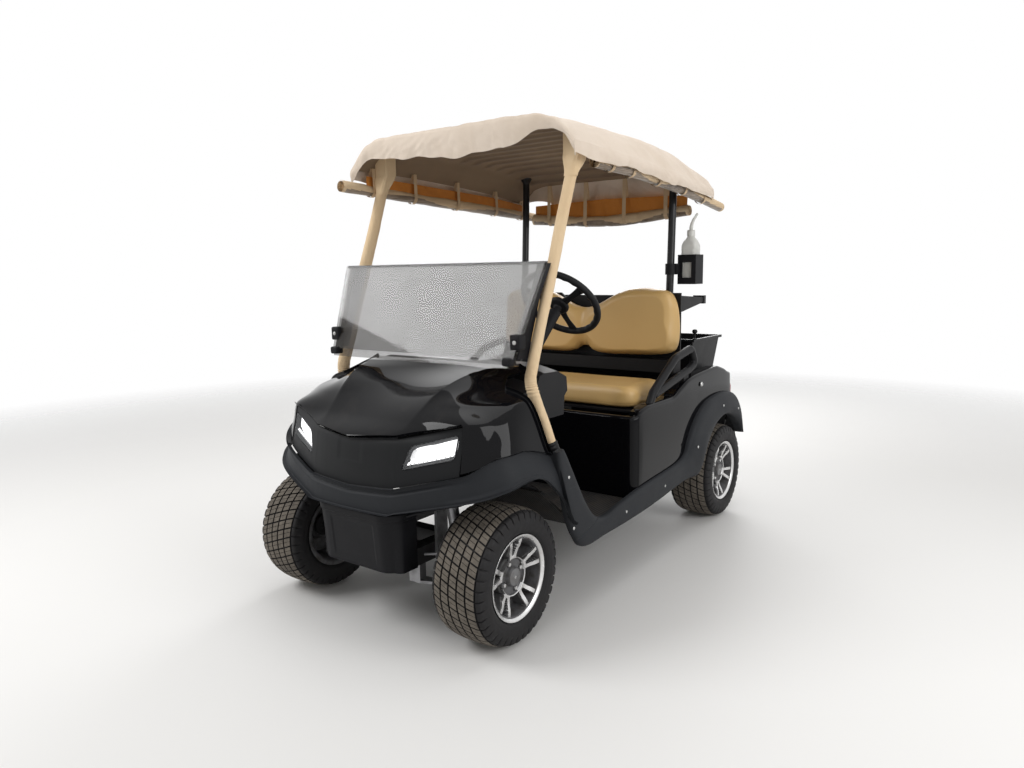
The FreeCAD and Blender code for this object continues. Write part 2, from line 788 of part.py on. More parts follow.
def roof_points(y, up, grow):
    """Half the crown line at the length y, lifted by up and widened by grow."""
    edge = edge_z(y)
    rise_here = drop_at(EDGE_DROP, y) - drop_at(CREST_DROP, y)
    scale = float(roof_half_width) / 540
    return [(x * scale + (grow if number < 2 else 0), float(y), edge + share * rise_here + up)
            for number, (x, share) in enumerate(CROWN)]


def full_line(points):
    return points + [(-x, y, z) for x, y, z in reversed(points[:-1])]


def roof_sheet(y, wall):
    return full_line(roof_points(y, 0, 0)) + list(reversed(full_line(roof_points(y, -wall, 0))))


stations = [roof_front_y + (roof_rear_y - roof_front_y) * share for share in (0, 0.25, 0.5, 0.75, 1)]
canopy = loft([roof_sheet(y, float(roof_wall)) for y in stations])
feature("canopy_shell", canopy)
high_up = float(roof_height) + 210
high_side = float(roof_half_width) + 20
above = loft([full_line(roof_points(y, -float(roof_wall) - 0.3, 0)) + [(-high_side, float(y), high_up),
              (high_side, float(y), high_up)] for y in stations])

gap = float(fit_gap)
skirt = float(hem_drop)


def cover_section(y, high):
    line = full_line(roof_points(y, gap + high, gap + high))
    low = edge_z(y) - skirt
    return [(line[0][0], float(y), low)] + line + [(line[-1][0], float(y), low)]


def cover_band(y):
    inner = cover_section(y, 0)
    return cover_section(y, float(cover_wall)) + list(reversed(inner))


cover = loft([cover_band(y) for y in stations])
front_line_points = cover_section(stations[0], float(cover_wall))
rear_line_points = cover_section(stations[-1], float(cover_wall))
# The front hem hangs level and rises in a peak beside the driver's strut.
FRONT_HEM = [(-500, 20), (0, 32), (250, 42), (400, 92), (465, 75), (500, 20)]
hem_low = edge_z(roof_front_y) - skirt
hem_line = [(x * float(roof_half_width) / 540, hem_low + z) for x, z in FRONT_HEM]
front_flap = prism("XZ", [(x, z) for x, y, z in front_line_points] + hem_line,
                   roof_front_y - gap - cover_wall, roof_front_y - gap)
rear_flap = prism("XZ", [(x, z) for x, y, z in rear_line_points], roof_rear_y + gap, roof_rear_y + gap + cover_wall)
cap_front = loft([[(x, float(y) - 0.3, z) for x, y, z in cover_band(stations[0])], cover_band(stations[0])])
cap_rear = loft([cover_band(stations[-1]), [(x, float(y) + 0.3, z) for x, y, z in cover_band(stations[-1])]])
cover = joined([cover, cap_front, cap_rear, front_flap, rear_flap])
roll_x = roof_half_width - roll_radius + 1
roll_front = (roll_x, roof_front_y - 90, roof_height - 193)
roll_rear = (roll_x, roof_rear_y + 155, roof_height - 255)
roll_path = rod(roll_front, roll_rear, roll_radius + 1)
cover = cover.cut([roll_path, flip(roll_path)])
feature("canopy_cover", cover)

# Struts reach the roof through a small plate at each top.
plate = block(strut_half_spacing - 30, strut_half_spacing + 30, strut_top_y - 26, strut_top_y + 29,
              edge_z(strut_top_y) - 20, high_up - 100).cut(above)
feature("front_struts", pair(strut.fuse(plate)))
seat_rim = seat_height - 8
deck_z = seat_rim + 76
rear_foot_z = deck_z
strut_scale = (roof_height - deck_z) / 1057
rear_x = rear_strut_half_spacing
rear_bend_z = deck_z + strut_scale * 372
rear_path = [(rear_x, rear_axle - 268, rear_foot_z + gap), (rear_x, rear_axle - 285, rear_bend_z),
             (rear_x, rear_axle - 262, edge_z(rear_axle - 262) - 15)]
rear_strut = bent_tube([(rear_x, rear_axle - 267, rear_foot_z - 22)] + rear_path[1:], strut_radius, 120)
rear_strut = rear_strut.cut(block(0, wide, rear_axle - 400, rear_axle, rear_foot_z - 60, rear_foot_z + fit_gap))
rear_plate = block(rear_x - 30, rear_x + 30, rear_axle - 290, rear_axle - 234,
                   edge_z(rear_axle - 262) - 15, high_up - 100).cut(above)
feature("rear_struts", pair(rear_strut.fuse(rear_plate)))

mount_line = [(glass_low_y + 14 + glass_wall, glass_low), (front_axle + 190, glass_low),
              (front_axle + 316, glass_top), (glass_low_y + 14 + glass_wall + 322 * glass_lean, glass_top)]
mount = prism("YZ", mount_line, glass_low_half + 4, glass_low_half + 10)
mount = mount.cut(bent_tube(strut_path, strut_radius + sleeve_wall + fit_gap, 90))
mount = sorted(mount.Solids, key=lambda solid: solid.BoundBox.YMin)[0]


def edge_section(share):
    """The black edge strip's section behind the lower pane, at a share of the pane's height."""
    z = glass_low + (glass_top - glass_low) * share
    x = glass_low_half + (glass_half_width - glass_low_half) * share
    y = glass_low_y + (z - glass_low) * glass_lean + 14 + glass_wall + fit_gap
    return [(x - 30, y, z), (x - 2, y, z), (x - 2, y + 26, z), (x - 30, y + 26, z)]


edge_strip = loft([edge_section(0.02), edge_section(0.98)])
feature("windshield_mounts", pair(mount.fuse(edge_strip).removeSplitter()))

# Rolled curtains that hang under the roof's sides and rear.
side_roll = rod(roll_front, roll_rear, roll_radius)
rear_roll_z = roof_height - 273
rear_roll_x = roof_half_width - 100
rear_roll = bent_tube([(-rear_roll_x, roof_rear_y - 20, rear_roll_z), (0, roof_rear_y - 20, rear_roll_z - 30),
                       (rear_roll_x, roof_rear_y - 20, rear_roll_z)], roll_radius + 4, 900)
straps = []
for share in (0.12, 0.3, 0.5, 0.7, 0.86):
    x, y, z = between(roll_front, roll_rear, share)
    straps.append(block(x - 1.5, x + 1.5, y - 10, y + 10, z + float(roll_radius) - 1, high_up - 100).cut(above))
side_rolls = joined([side_roll] + straps)
rear_straps = []
for share in (-0.75, -0.25, 0.25, 0.75):
    x = float(rear_roll_x) * share
    rear_straps.append(block(x - 10, x + 10, roof_rear_y - 22, roof_rear_y - 19, rear_roll_z - 12, high_up - 100)
                       .cut(above))
feature("curtain_rolls", Part.makeCompound([side_rolls, flip(side_rolls), joined([rear_roll] + rear_straps)]))

# Rear body: side profile and plan profile, hollow inside, with the arches and the openings cut.
body_half = half_body - 25
body_front_y = rear_axle - 892
body_low = floor_height + fit_gap
REAR_SIDE = [(-330, 0), (-318, 76), (120, 76), (198, 40), (238, -32), (232, -240), (226, -287)]


def rear_solid(inset, lower):
    side = [(body_front_y + inset, body_low - lower), (body_front_y + inset, seat_rim - inset)]
    side += [(rear_axle + y + (inset if number < 2 else -inset), seat_rim + z - inset)
             for number, (y, z) in enumerate(REAR_SIDE[:-1])]
    side += [(rear_axle + 226 - inset, body_low - lower)]
    half = body_half - inset
    tail = rear_axle + 240 - inset
    plan = [(-half, body_front_y + 30 + inset), (-half + 9, body_front_y + 9 + inset),
            (-half + 30, body_front_y + inset), (half - 30, body_front_y + inset),
            (half - 9, body_front_y + 9 + inset), (half, body_front_y + 30 + inset), (half, rear_axle + 120),
            (half - 40, tail - 35), (half - 110, tail), (-half + 110, tail), (-half + 40, tail - 35),
            (-half, rear_axle + 120)]
    return prism("YZ", side, -half, half).common(prism("XY", plan, 200, 900))


arch_x = rear_track / 2 - tyre_width / 2 - 10
arch = axle_drum(tyre_radius + 50, arch_x, half_body + 125, rear_axle)
arches = arch.fuse(flip(arch))
well_half = half_body - 210
LEDGE = [(-858, -2), (-852, 20), (-768, 36), (-551, 34), (-364, 94), (-43, 116), (50, 96), (106, 74), (-320, 74), (-331, -2)]


def ledge(inset, sink):
    """A hollow shoulder along the top of the body's side; its foot reaches into the body by sink."""
    points = []
    for number, (y, z) in enumerate(LEDGE):
        foot = number in (0, 7, 8, 9)
        along = inset if number < 2 else (-inset if number in (6, 7) else 0)
        points.append((rear_axle + y + along, seat_rim + z - (sink if foot else inset)))
    return prism("YZ", points, seat_half_width + 7 + inset, body_half - inset)


side_ledge = ledge(0, 0)
side_core = ledge(float(panel_wall), 12)
rear_body = rear_solid(sized(0), 0).fuse([side_ledge, flip(side_ledge)])
rear_body = rear_body.cut([rear_solid(panel_wall, 40), side_core, flip(side_core)])
rear_body = rear_body.cut([
    arches, block(14 - seat_half_width, seat_half_width - 14, body_front_y + 12, rear_axle - 332, 500, seat_rim + 1),
    block(-seat_half_width - 6, seat_half_width + 6, rear_axle - 560, rear_axle - 332, 500, 800),
    block(-well_half - 7, well_half + 7, rear_axle + 118, rear_axle + 300, 200, 800)])
feature("rear_body", rear_body)
lamp_block = block(body_half - 100, body_half + 20, rear_axle + 165, rear_axle + 260, 560, 640)
tail_lamp = rear_solid(sized(-6), 0).cut(rear_solid(-fit_gap, 0)).common(lamp_block)
feature("tail_lamps", pair(tail_lamp))

# Sills with the front brace that holds the strut, and the flare round the rear wheel.
sill_inner = body_half + fit_gap
SILL = [("front", 332, -65), ("front", 832, -60), ("rear", -412, -15), ("rear", -352, 40), ("rear", -400, 78),
        ("front", 782, 45), ("front", 472, 10), ("front", 362, 100), ("front", 212, 322), ("front", 172, 318),
        ("front", 182, 290), ("front", 238, 72)]
sill_points = [((front_axle if end == "front" else rear_axle) + y, floor_height + z) for end, y, z in SILL]
FLARE_OUT = [(-440, 90), (-448, 140), (-394, 234), (-326, 305), (-223, 366), (-91, 386), (60, 388), (180, 330),
             (232, 240), (246, 155), (150, 60), (-300, 60)]
flare_points = [(rear_axle + y, hub_height + z) for y, z in FLARE_OUT]
sill = prism("YZ", sill_points, sill_inner, half_body)
sill = sill.cut(arch)
flare = prism("YZ", flare_points, body_half + 0.3, half_body + flare_reach)
flare = flare.cut(arch)
sill = joined([sill, flare])
feature("sill_left", sill)
feature("sill_right", flip(sill))

# Bag well, rear bumper and basket.
well_rear = tail - bumper_wall - 2
well = new_body("bag_well")
well_front = rear_axle + 124
pad(well, "XY_Plane", box_points(-well_half, well_half, well_front, well_rear), rise + rail_height, rise + rail_height + 200)
pocket(well, "XY_Plane", box_points(4 - well_half, well_half - 4, well_front + 4, well_rear - 4), rise + rail_height + 4,
       rise + rail_height + 260)
pocket(well, "XZ_Plane", box_points(35 - well_half, well_half - 35, rise + rail_height + 70, rise + rail_height + 260),
       well_rear - 10, well_rear + 10)
guard_half = half_body - 135
guard_right = [(guard_half - 60, tail), (guard_half - 10, tail - 43), (guard_half, tail - 113),
               (guard_half - 12, tail - 113), (guard_half - 22, tail - 50), (guard_half - 66, tail - bumper_wall)]
bumper_plan = guard_right + [(-x, y) for x, y in reversed(guard_right)]
rear_bumper = new_body("rear_bumper")
pad(rear_bumper, "XY_Plane", bumper_plan, rise + 5, rise + 115)
basket_rear = rear_axle + 148
basket_low = deck_z + fit_gap
basket_top = basket_low + basket_height
basket_half = half_body - 85


def basket_ring(inset, height):
    """The basket's plan at a height: it narrows by 24 on each side down to its floor."""
    draw = 24 * (basket_top - height) / basket_height + inset
    front, rear = basket_rear - basket_depth + draw, basket_rear - 10 - draw
    half = basket_half - draw
    return [(-half, front, height), (half, front, height), (half, rear, height), (-half, rear, height)]


basket = loft([basket_ring(sized(0), basket_low), basket_ring(sized(0), basket_top)])
basket = basket.cut(loft([basket_ring(sized(4), basket_low + 4), basket_ring(sized(4), basket_top + 2)]))
basket_rim = block(-basket_half - 10, basket_half + 10, basket_rear - basket_depth - 10, basket_rear,
                   basket_top - 12, basket_top)
basket_rim = basket_rim.cut(block(2 - basket_half, basket_half - 2, basket_rear - basket_depth + 2, basket_rear - 12,
                                  basket_top - 14, basket_top + 2))
feature("sweater_basket", basket.fuse(basket_rim).removeSplitter())

# Seat: a lifting pan with its cushion, a backrest on its panel, and the hip loops.
hinge_y = rear_axle - 508
hinge_z = seat_height - 40
pan_front = rear_axle - 790
pan_rear = rear_axle - 430
pan_low = seat_rim + fit_gap
pan = block(-seat_half_width, seat_half_width, pan_front, hinge_y - 45, pan_low, seat_height)
pan = pan.fuse(block(20 - seat_half_width, seat_half_width - 20, hinge_y - 55, pan_rear, pan_low, seat_height))
for x in (-300, 270):
    ear = block(x, x + 30, hinge_y - 18, hinge_y + 18, hinge_z, pan_low + 1)
    ear = ear.fuse(rod((x, hinge_y, hinge_z), (x + 30, hinge_y, hinge_z), 18))
    pan = pan.fuse(ear)
pan = pan.cut(rod((-400, hinge_y, hinge_z), (400, hinge_y, hinge_z), 10 + gap)).removeSplitter()
feature("seat_pan", pan)
bar_half = body_half - panel_wall
feature("seat_hinge_bar", rod((-bar_half, hinge_y, hinge_z), (bar_half, hinge_y, hinge_z), 10))
cushion_low = seat_height + fit_gap
cushion_top = cushion_low + cushion_thickness
CUSHION = [(-775, 0), (-793, 12), (-797, -30), (-778, -8), (-600, -4), (-440, 0), (-420, -14), (-417, 14), (-432, 0)]


def cushion_section(x, shrink):
    points = []
    for number, (y, z) in enumerate(CUSHION):
        level = cushion_low + z if number in (0, 1, 7, 8) else cushion_top + z
        if number in (2, 3, 4, 5, 6):
            level = level - shrink
        points.append((x, rear_axle + y, level))
    return points


cushion = loft([cushion_section(-seat_half_width, 30), cushion_section(-seat_half_width + 22, 4),
                cushion_section(0, 10), cushion_section(seat_half_width - 22, 4),
                cushion_section(seat_half_width, 30)])
feature("seat_cushion", cushion)
strut_front = rear_axle - 285 - strut_radius
panel_rear = strut_front - fit_gap
back_front = panel_rear - 8 - fit_gap - back_thickness
back_top = back_bottom + back_height
back = new_body("seat_back_cushion")
BACK = [(24, 30), (56, 4), (120, -6), (250, -10), (380, -8), (455, 6), (490, 40), (498, 110), (494, 190),
        (484, 254), (460, 300), (415, 322), (330, 328), (262, 324), (196, 306), (130, 273), (66, 238), (24, 222)]
right = [(seat_half_width * (x / 500.0), back_bottom + z) for x, z in BACK]
left = [(-x, z) for x, z in reversed(right)]
pad(back, "XZ_Plane", right + left, back_front, back_front + back_thickness)
panel = new_body("seat_back_panel")
panel_front = back_front + back_thickness + fit_gap
pad(panel, "YZ_Plane", [(back_front + 10, back_bottom - 72), (panel_rear, back_bottom - 72),
                        (panel_rear, back_top - 30), (panel_front, back_top - 30),
                        (panel_front, back_bottom - 14), (back_front + 10, back_bottom - 14)],
    -seat_half_width + 20, seat_half_width - 20)
pocket(panel, "XZ_Plane", [(-178, back_top - 20), (178, back_top - 20), (60, back_bottom + 200), (-60, back_bottom + 200)],
       back_front, panel_rear + 10)
# Each hip loop is a thick teardrop that stands on the ledge.
loop_x = body_half - 20
UPPER = [(-738, 18), (-694, 78), (-480, 200), (-400, 213.2)]
LOWER = [(-400, 213.2), (-310, 228), (-262, 158), (-330, 134), (-690, 66)]
upper_run = bent_tube([(loop_x, rear_axle + y, seat_rim + z) for y, z in UPPER], 18, 40)
lower_run = bent_tube([(loop_x, rear_axle + y, seat_rim + z) for y, z in LOWER], 18, 26)
loop_foot = block(loop_x - 9, loop_x + 9, rear_axle - 400, rear_axle - 350, seat_rim + 60, seat_rim + 122)
ledge_room = ledge(0, 0).fuse(ledge(0, 0).translated(FreeCAD.Vector(0, 0, float(fit_gap))))
loop = joined([upper_run, lower_run, loop_foot]).cut(ledge_room)
loop = sorted(loop.Solids, key=lambda solid: solid.Volume)[-1]
feature("hip_restraints", pair(loop))

# Battery block, drive unit, rear axle and springs.
battery = new_body("battery_pack")
pad(battery, "XY_Plane", box_points(195 - half_body, half_body - 195, rear_axle - 865, rear_axle - 540), floor_height, floor_height + 255)
drum_face = rear_track / 2 - rim_width / 2 + 40
axle_parts = [axle_drum(axle_tube_radius, -drum_face, drum_face, rear_axle),
              axle_drum(spindle_radius, -rear_track / 2 - 58, rear_track / 2 + 58, rear_axle),
              axle_drum(85, drum_face - 55, drum_face, rear_axle), axle_drum(85, -drum_face, -drum_face + 55, rear_axle),
              axle_drum(78, 60, 125, rear_axle),
              block(60, 125, rear_axle - 130, rear_axle, hub_height - 40, hub_height + 60)]
feature("rear_axle", joined(axle_parts))
feature("drive_motor", rod((-132, rear_axle - 130, hub_height + 30), (60, rear_axle - 130, hub_height + 30), 88)
        .cut(axle_drum(axle_tube_radius + 4, -400, 400, rear_axle)))
leaf_low = hub_height + axle_tube_radius + fit_gap
leaf_side = [(rear_axle - 300, leaf_low + 30), (rear_axle - 60, leaf_low), (rear_axle + 60, leaf_low),
             (rear_axle + 300, leaf_low + 30), (rear_axle + 300, leaf_low + 40), (rear_axle + 60, leaf_low + 14),
             (rear_axle - 60, leaf_low + 14), (rear_axle - 300, leaf_low + 40)]
leaf = prism("YZ", leaf_side, outer_x + 10, outer_x + 60)
hanger = block(outer_x, outer_x + 60, rear_axle + 280, rear_axle + 305, leaf_low + 30, rise + 40)
front_hanger = block(outer_x, outer_x + 60, rear_axle - 305, rear_axle - 280, leaf_low + 30, rise + 40)
springs = joined([leaf, hanger, front_hanger])
feature("rear_springs", pair(springs))

# Front suspension: lower plate arms, upper rods, coil spring units and the kingpins.
pin_x = front_track / 2 - kingpin_offset
arm_low = hub_height - 62
arm_top = arm_low + 10
upper_z = hub_height + 64
arm_plan = [(inner_x, front_axle - 108), (outer_x, front_axle - 108), (pin_x, front_axle - 15), (pin_x, front_axle + 15),
            (outer_x, front_axle + 108), (inner_x, front_axle + 108), (inner_x, front_axle + 74),
            (outer_x + 20, front_axle + 60), (outer_x + 20, front_axle - 60), (inner_x, front_axle - 74)]
arm = prism("XY", arm_plan, arm_low, arm_top)
arm = arm.fuse(rod((pin_x, front_axle, arm_low), (pin_x, front_axle, arm_top), 19))
hang_front = block(inner_x, outer_x, front_axle - 108, front_axle - 78, arm_low, rail_low)
hang_rear = block(inner_x, outer_x, front_axle + 78, front_axle + 108, arm_low, rail_low)
pin = rod((pin_x, front_axle, arm_low), (pin_x, front_axle, upper_z + 7), kingpin_radius - 7)
eye = rod((pin_x, front_axle, upper_z - 7), (pin_x, front_axle, upper_z + 7), 18)
upper_front = rod((outer_x - 2, front_axle - 80, upper_z - 30), (pin_x, front_axle - 6, upper_z + 1), 5)
upper_rear = rod((outer_x - 2, front_axle + 80, upper_z - 30), (pin_x, front_axle + 6, upper_z + 1), 5)
tower_points = [(outer_x, rail_low + 5), (outer_x, rail_low + 250), (outer_x + 72, rail_low + 262),
                (outer_x + 72, rail_low + 250), (outer_x + 12, rail_low + 236), (outer_x + 12, rail_low + 5)]
tower = prism("XZ", tower_points, front_axle - 28, front_axle + 28)
shock_foot = (outer_x + 108, front_axle, arm_top)
shock_head = (outer_x + 46, front_axle, rail_low + 252)
shock = rod(shock_foot, shock_head, 9).fuse(rod(between(shock_foot, shock_head, 0.2),
                                                between(shock_foot, shock_head, 0.88), 21))
suspension = joined([arm, hang_front, hang_rear, pin, eye, upper_front, upper_rear, tower, shock]).cut(rails)
feature("front_suspension", pair(suspension))


# Steering knuckles turn on the kingpins and carry the spindles.
def knuckle(label, side):
    boss = rod((pin_x, front_axle, arm_top + gap), (pin_x, front_axle, upper_z - 7 - gap), kingpin_radius)
    spindle = rod((pin_x + 12, front_axle, hub_height), (front_track / 2 + 58, front_axle, hub_height), spindle_radius)
    plate = rod((front_track / 2 - 10, front_axle, hub_height), (front_track / 2 + 4, front_axle, hub_height), 42)
    lever = block(pin_x - 8, pin_x + 8, front_axle + 8, front_axle + steering_arm + 12, hub_height - 20,
                  hub_height - 10)
    shape = joined([boss, spindle, plate, lever])
    shape = shape.cut(rod((pin_x, front_axle, arm_low - 5), (pin_x, front_axle, upper_z + 9), kingpin_radius - 7 + fit_gap))
    return feature(label, shape if side > 0 else flip(shape))


knuckle("knuckle_left", 1)
knuckle("knuckle_right", -1)
rod_y = front_axle + steering_arm
rod_z = hub_height - 34
rack = rod((-pin_x, rod_y, rod_z), (pin_x, rod_y, rod_z), 7)
for x in (-pin_x, pin_x):
    rack = rack.fuse(rod((x, rod_y, rod_z - 8), (x, rod_y, rod_z + 8), 11))
feature("tie_rods", rack)
gear = rod((-95, rod_y, rod_z), (95, rod_y, rod_z), 15).cut(rod((-100, rod_y, rod_z), (100, rod_y, rod_z), 7 + gap))
gear = gear.fuse(block(-60, 60, rod_y - 12, rod_y + 12, rod_z + 13, rail_low))
gear = gear.cut(rod((-100, rod_y, rod_z), (100, rod_y, rod_z), 7 + gap))
feature("steering_gear", gear)

# Steering wheel: grip ring, hub and three spokes about its own Z, tilted on the column.
grip = Part.makeTorus(float(wheel_hand_radius - wheel_grip_radius), float(wheel_grip_radius))
hub = Part.makeCylinder(42, 26, FreeCAD.Vector(0, 0, -26))
stub = Part.makeCylinder(16, 26, FreeCAD.Vector(0, 0, -52 + float(fit_gap)))
spokes = []
for angle in (90, 210, 330):
    spoke = Part.makeBox(float(wheel_hand_radius - wheel_grip_radius) - 28, 26, 8, FreeCAD.Vector(30, -13, -14))
    spoke = spoke.rotate(FreeCAD.Vector(0, 0, 0), FreeCAD.Vector(0, 0, 1), angle)
    spokes.append(spoke)
hand_wheel = joined([grip, hub, stub] + spokes)
hand_wheel = feature("steering_wheel", hand_wheel)
wheel_tilt = FreeCAD.Rotation(FreeCAD.Vector(1, 0, 0), float(column_angle) - 90)
hand_wheel.Placement = FreeCAD.Placement(vec(wheel_x, wheel_y, wheel_z), wheel_tilt)

# Pedals on the toe board.
toe_slope = float(toe_top_z + 5 - floor_height) / float(toe_front + 3 - toe_top_y - 5)


def toe_line(y):
    return floor_height + (toe_front + 3 - y) * toe_slope + fit_gap


pedals = []
for low_x, high_x, foot in ((wheel_x - 70, wheel_x + 10, 110), (wheel_x + 60, wheel_x + 110, 100)):
    y = toe_front - foot
    side = [(y + 40, toe_line(y + 40)), (y + 30, toe_line(y + 30) + 30), (y - 60, toe_line(y - 60) + 34),
            (y - 60, toe_line(y - 60) + 26), (y + 20, toe_line(y + 20) + 18), (y + 25, toe_line(y + 25))]
    pedals.append(prism("YZ", side, low_x, high_x))
feature("pedals", Part.makeCompound(pedals))

# Bag rest across the rear struts, and the bottle in its holder on the driver's strut.
REST = [(450, -285), (450, 38), (400, 38), (330, -60), (230, -105), (130, -60), (60, 20)]
rest_right = [((half_body - 125) * (x / 450.0), rear_axle + y) for x, y in REST]
rest_low = deck_z + strut_scale * 324
rest = prism("XY", rest_right + [(-x, y) for x, y in reversed(rest_right)], rest_low - 12, rest_low + 70)
WEDGE = [(-290, -6), (-230, -10), (42, 28), (42, 48), (-290, 68)]
rest = rest.common(prism("YZ", [(rear_axle + y, rest_low + z) for y, z in WEDGE], 115 - half_body, half_body - 115))
rest_end = block(half_body - 178, half_body - 122, rear_axle + 20, rear_axle + 46, rest_low + 18, rest_low + 58)
rest = joined([rest, rest_end, flip(rest_end)])
feature("bag_rack", rest.cut([bent_tube(rear_path, strut_radius + fit_gap, 120),
                              flip(bent_tube(rear_path, strut_radius + fit_gap, 120))]))
holder_x = rear_x + 62
holder_y = rear_axle - 196
holder_low = deck_z + strut_scale * 442
holder_top = holder_low + strut_scale * 135
strut_shift = float(holder_low + 70 - rear_bend_z) / (float(rear_path[2][2]) - float(rear_bend_z)) * 23
clamp_y = rear_axle - 285 + strut_shift
outer_block = block(holder_x - 44, holder_x + 44, holder_y - 44, holder_y + 44, holder_low, holder_top)
holder = outer_block.cut(block(holder_x - 40, holder_x + 40, holder_y - 40, holder_y + 40, holder_low + 4,
                               holder_top + 15))
holder = holder.cut(block(holder_x - 22, holder_x + 22, holder_y - 60, holder_y - 30, holder_low + 30,
                          holder_top - 35))
clamp = rod((rear_x, clamp_y, holder_low + 45), (rear_x, clamp_y, holder_low + 95), strut_radius + 7)
clamp = clamp.fuse(block(rear_x, rear_x + 28, clamp_y, holder_y, holder_low + 45, holder_low + 95))
clamp = clamp.cut([bent_tube(rear_path, strut_radius + fit_gap, 120), outer_block])
feature("bottle_holder", holder.fuse(clamp))
OCTAGON = ((-1, -0.8), (-0.8, -1), (0.8, -1), (1, -0.8), (1, 0.8), (0.8, 1), (-0.8, 1), (-1, 0.8))
BOTTLE = ((37, 0), (37, 176), (30, 196), (16, 218), (16, 238))
bottle_low = holder_low + 4 + gap
bottle = loft([[(holder_x + u * w, holder_y + v * w, bottle_low + strut_scale * z) for u, v in OCTAGON]
               for w, z in BOTTLE])
neck_z = bottle_low + strut_scale * 238
spout = bent_tube([(holder_x, holder_y, neck_z), (holder_x, holder_y + 10, neck_z + strut_scale * 33),
                   (holder_x, holder_y + 70, neck_z + strut_scale * 83)], 9, 20)
feature("seed_bottle", bottle.fuse(spout))

doc.recompute()
os.makedirs("parts", exist_ok=True)
for item in doc.Objects:
    if "Invalid" in item.State or "Error" in item.State:
        raise RuntimeError("%s: %s" % (item.Label, item.State))
for item in nodes:
    if item.Shape.isNull() or not item.Shape.isValid():
        raise RuntimeError(item.Label + " has no valid shape")
    item.Shape.exportStep(os.path.join("parts", item.Label + ".step"))
    print(item.Label, len(item.Shape.Solids), round(item.Shape.Volume / 1e3), item.Shape.BoundBox)
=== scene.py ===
import bpy, bmesh, json, math
import numpy as np
from mathutils import Matrix

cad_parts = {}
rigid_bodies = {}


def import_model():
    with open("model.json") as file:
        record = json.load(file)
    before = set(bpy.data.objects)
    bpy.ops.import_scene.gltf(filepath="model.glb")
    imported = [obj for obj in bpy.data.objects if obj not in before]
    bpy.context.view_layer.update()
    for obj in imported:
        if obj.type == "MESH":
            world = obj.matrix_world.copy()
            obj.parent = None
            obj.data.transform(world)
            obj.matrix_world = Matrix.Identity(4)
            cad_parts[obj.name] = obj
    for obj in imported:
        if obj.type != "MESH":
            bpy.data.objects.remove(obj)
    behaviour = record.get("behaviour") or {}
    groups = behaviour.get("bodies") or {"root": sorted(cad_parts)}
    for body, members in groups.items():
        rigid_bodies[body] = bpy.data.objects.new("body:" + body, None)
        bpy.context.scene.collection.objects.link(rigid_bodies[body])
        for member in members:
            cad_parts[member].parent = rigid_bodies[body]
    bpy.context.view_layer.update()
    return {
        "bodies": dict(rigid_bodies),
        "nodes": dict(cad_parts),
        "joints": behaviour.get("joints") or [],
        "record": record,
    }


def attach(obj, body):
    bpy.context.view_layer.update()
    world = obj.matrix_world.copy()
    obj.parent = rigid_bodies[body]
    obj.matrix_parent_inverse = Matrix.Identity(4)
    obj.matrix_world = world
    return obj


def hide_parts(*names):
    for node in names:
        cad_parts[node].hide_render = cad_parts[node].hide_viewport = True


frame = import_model()
scene = bpy.context.scene
nodes = frame["nodes"]

FRONT_AXLE, REAR_AXLE, HUB = -0.907, 0.757, 0.230
MILLIMETRES = 0.001


# surfaces
def smooth_step(low, high, x):
    """0 below low, 1 above high and 3t^2 - 2t^3 between them."""
    t = np.clip((x - low) / (high - low), 0.0, 1.0)
    return t * t * (3.0 - 2.0 * t)


def window(rise, full, fade, gone, x):
    """0 outside rise to gone, 1 between full and fade, and smooth steps between."""
    return smooth_step(rise, full, x) * (1 - smooth_step(fade, gone, x))


def bell(x, middle, width):
    """exp(-((x - middle) / width)^2)."""
    return np.exp(-((x - middle) / width) ** 2)


def unit(v):
    """Vectors divided by their own length."""
    return v / np.maximum(np.linalg.norm(v, axis=-1, keepdims=True), 1e-12)


def steps_of(line):
    """The length of each segment of a polyline."""
    return np.linalg.norm(np.diff(line, axis=0), axis=1)


def evenly(line, count, endpoint=True):
    """A plane polyline resampled at count places, evenly by its length."""
    length = np.concatenate([[0], np.cumsum(steps_of(line))])
    even = np.linspace(0, length[-1], count, endpoint=endpoint)
    return np.stack([np.interp(even, length, line[:, k]) for k in (0, 1)], -1)


def beside(line):
    """The direction square to a plane line at each of its points: the slope turned left by a quarter."""
    way = unit(np.gradient(line, axis=0))
    return np.stack([-way[:, 1], way[:, 0]], -1)


def soft_square(angle, e):
    """Points of the superellipse |x|^(2 / e) + |y|^(2 / e) = 1."""
    c, s = np.cos(angle), np.sin(angle)
    return np.sign(c) * np.abs(c) ** e, np.sign(s) * np.abs(s) ** e


def cubic(a, b, c, d, t):
    """Catmull-Rom span from b to c, whose end slopes are half the chords a to c and b to d."""
    return b + 0.5 * t * (c - a) + t * t * (a - 2.5 * b + 2 * c - 0.5 * d) + t ** 3 * (1.5 * (b - c) + 0.5 * (d - a))


def spline(points, count):
    """Catmull-Rom line through the points, lengthened by one point in line at each end."""
    p = np.asarray(points, float)
    padded = np.vstack([2 * p[0] - p[1], p, 2 * p[-1] - p[-2]])
    spans = len(p) - 1
    place = np.linspace(0, spans, count)
    index = np.minimum(place.astype(int), spans - 1)
    return cubic(*(padded[index + k] for k in range(4)), (place - index)[:, None])


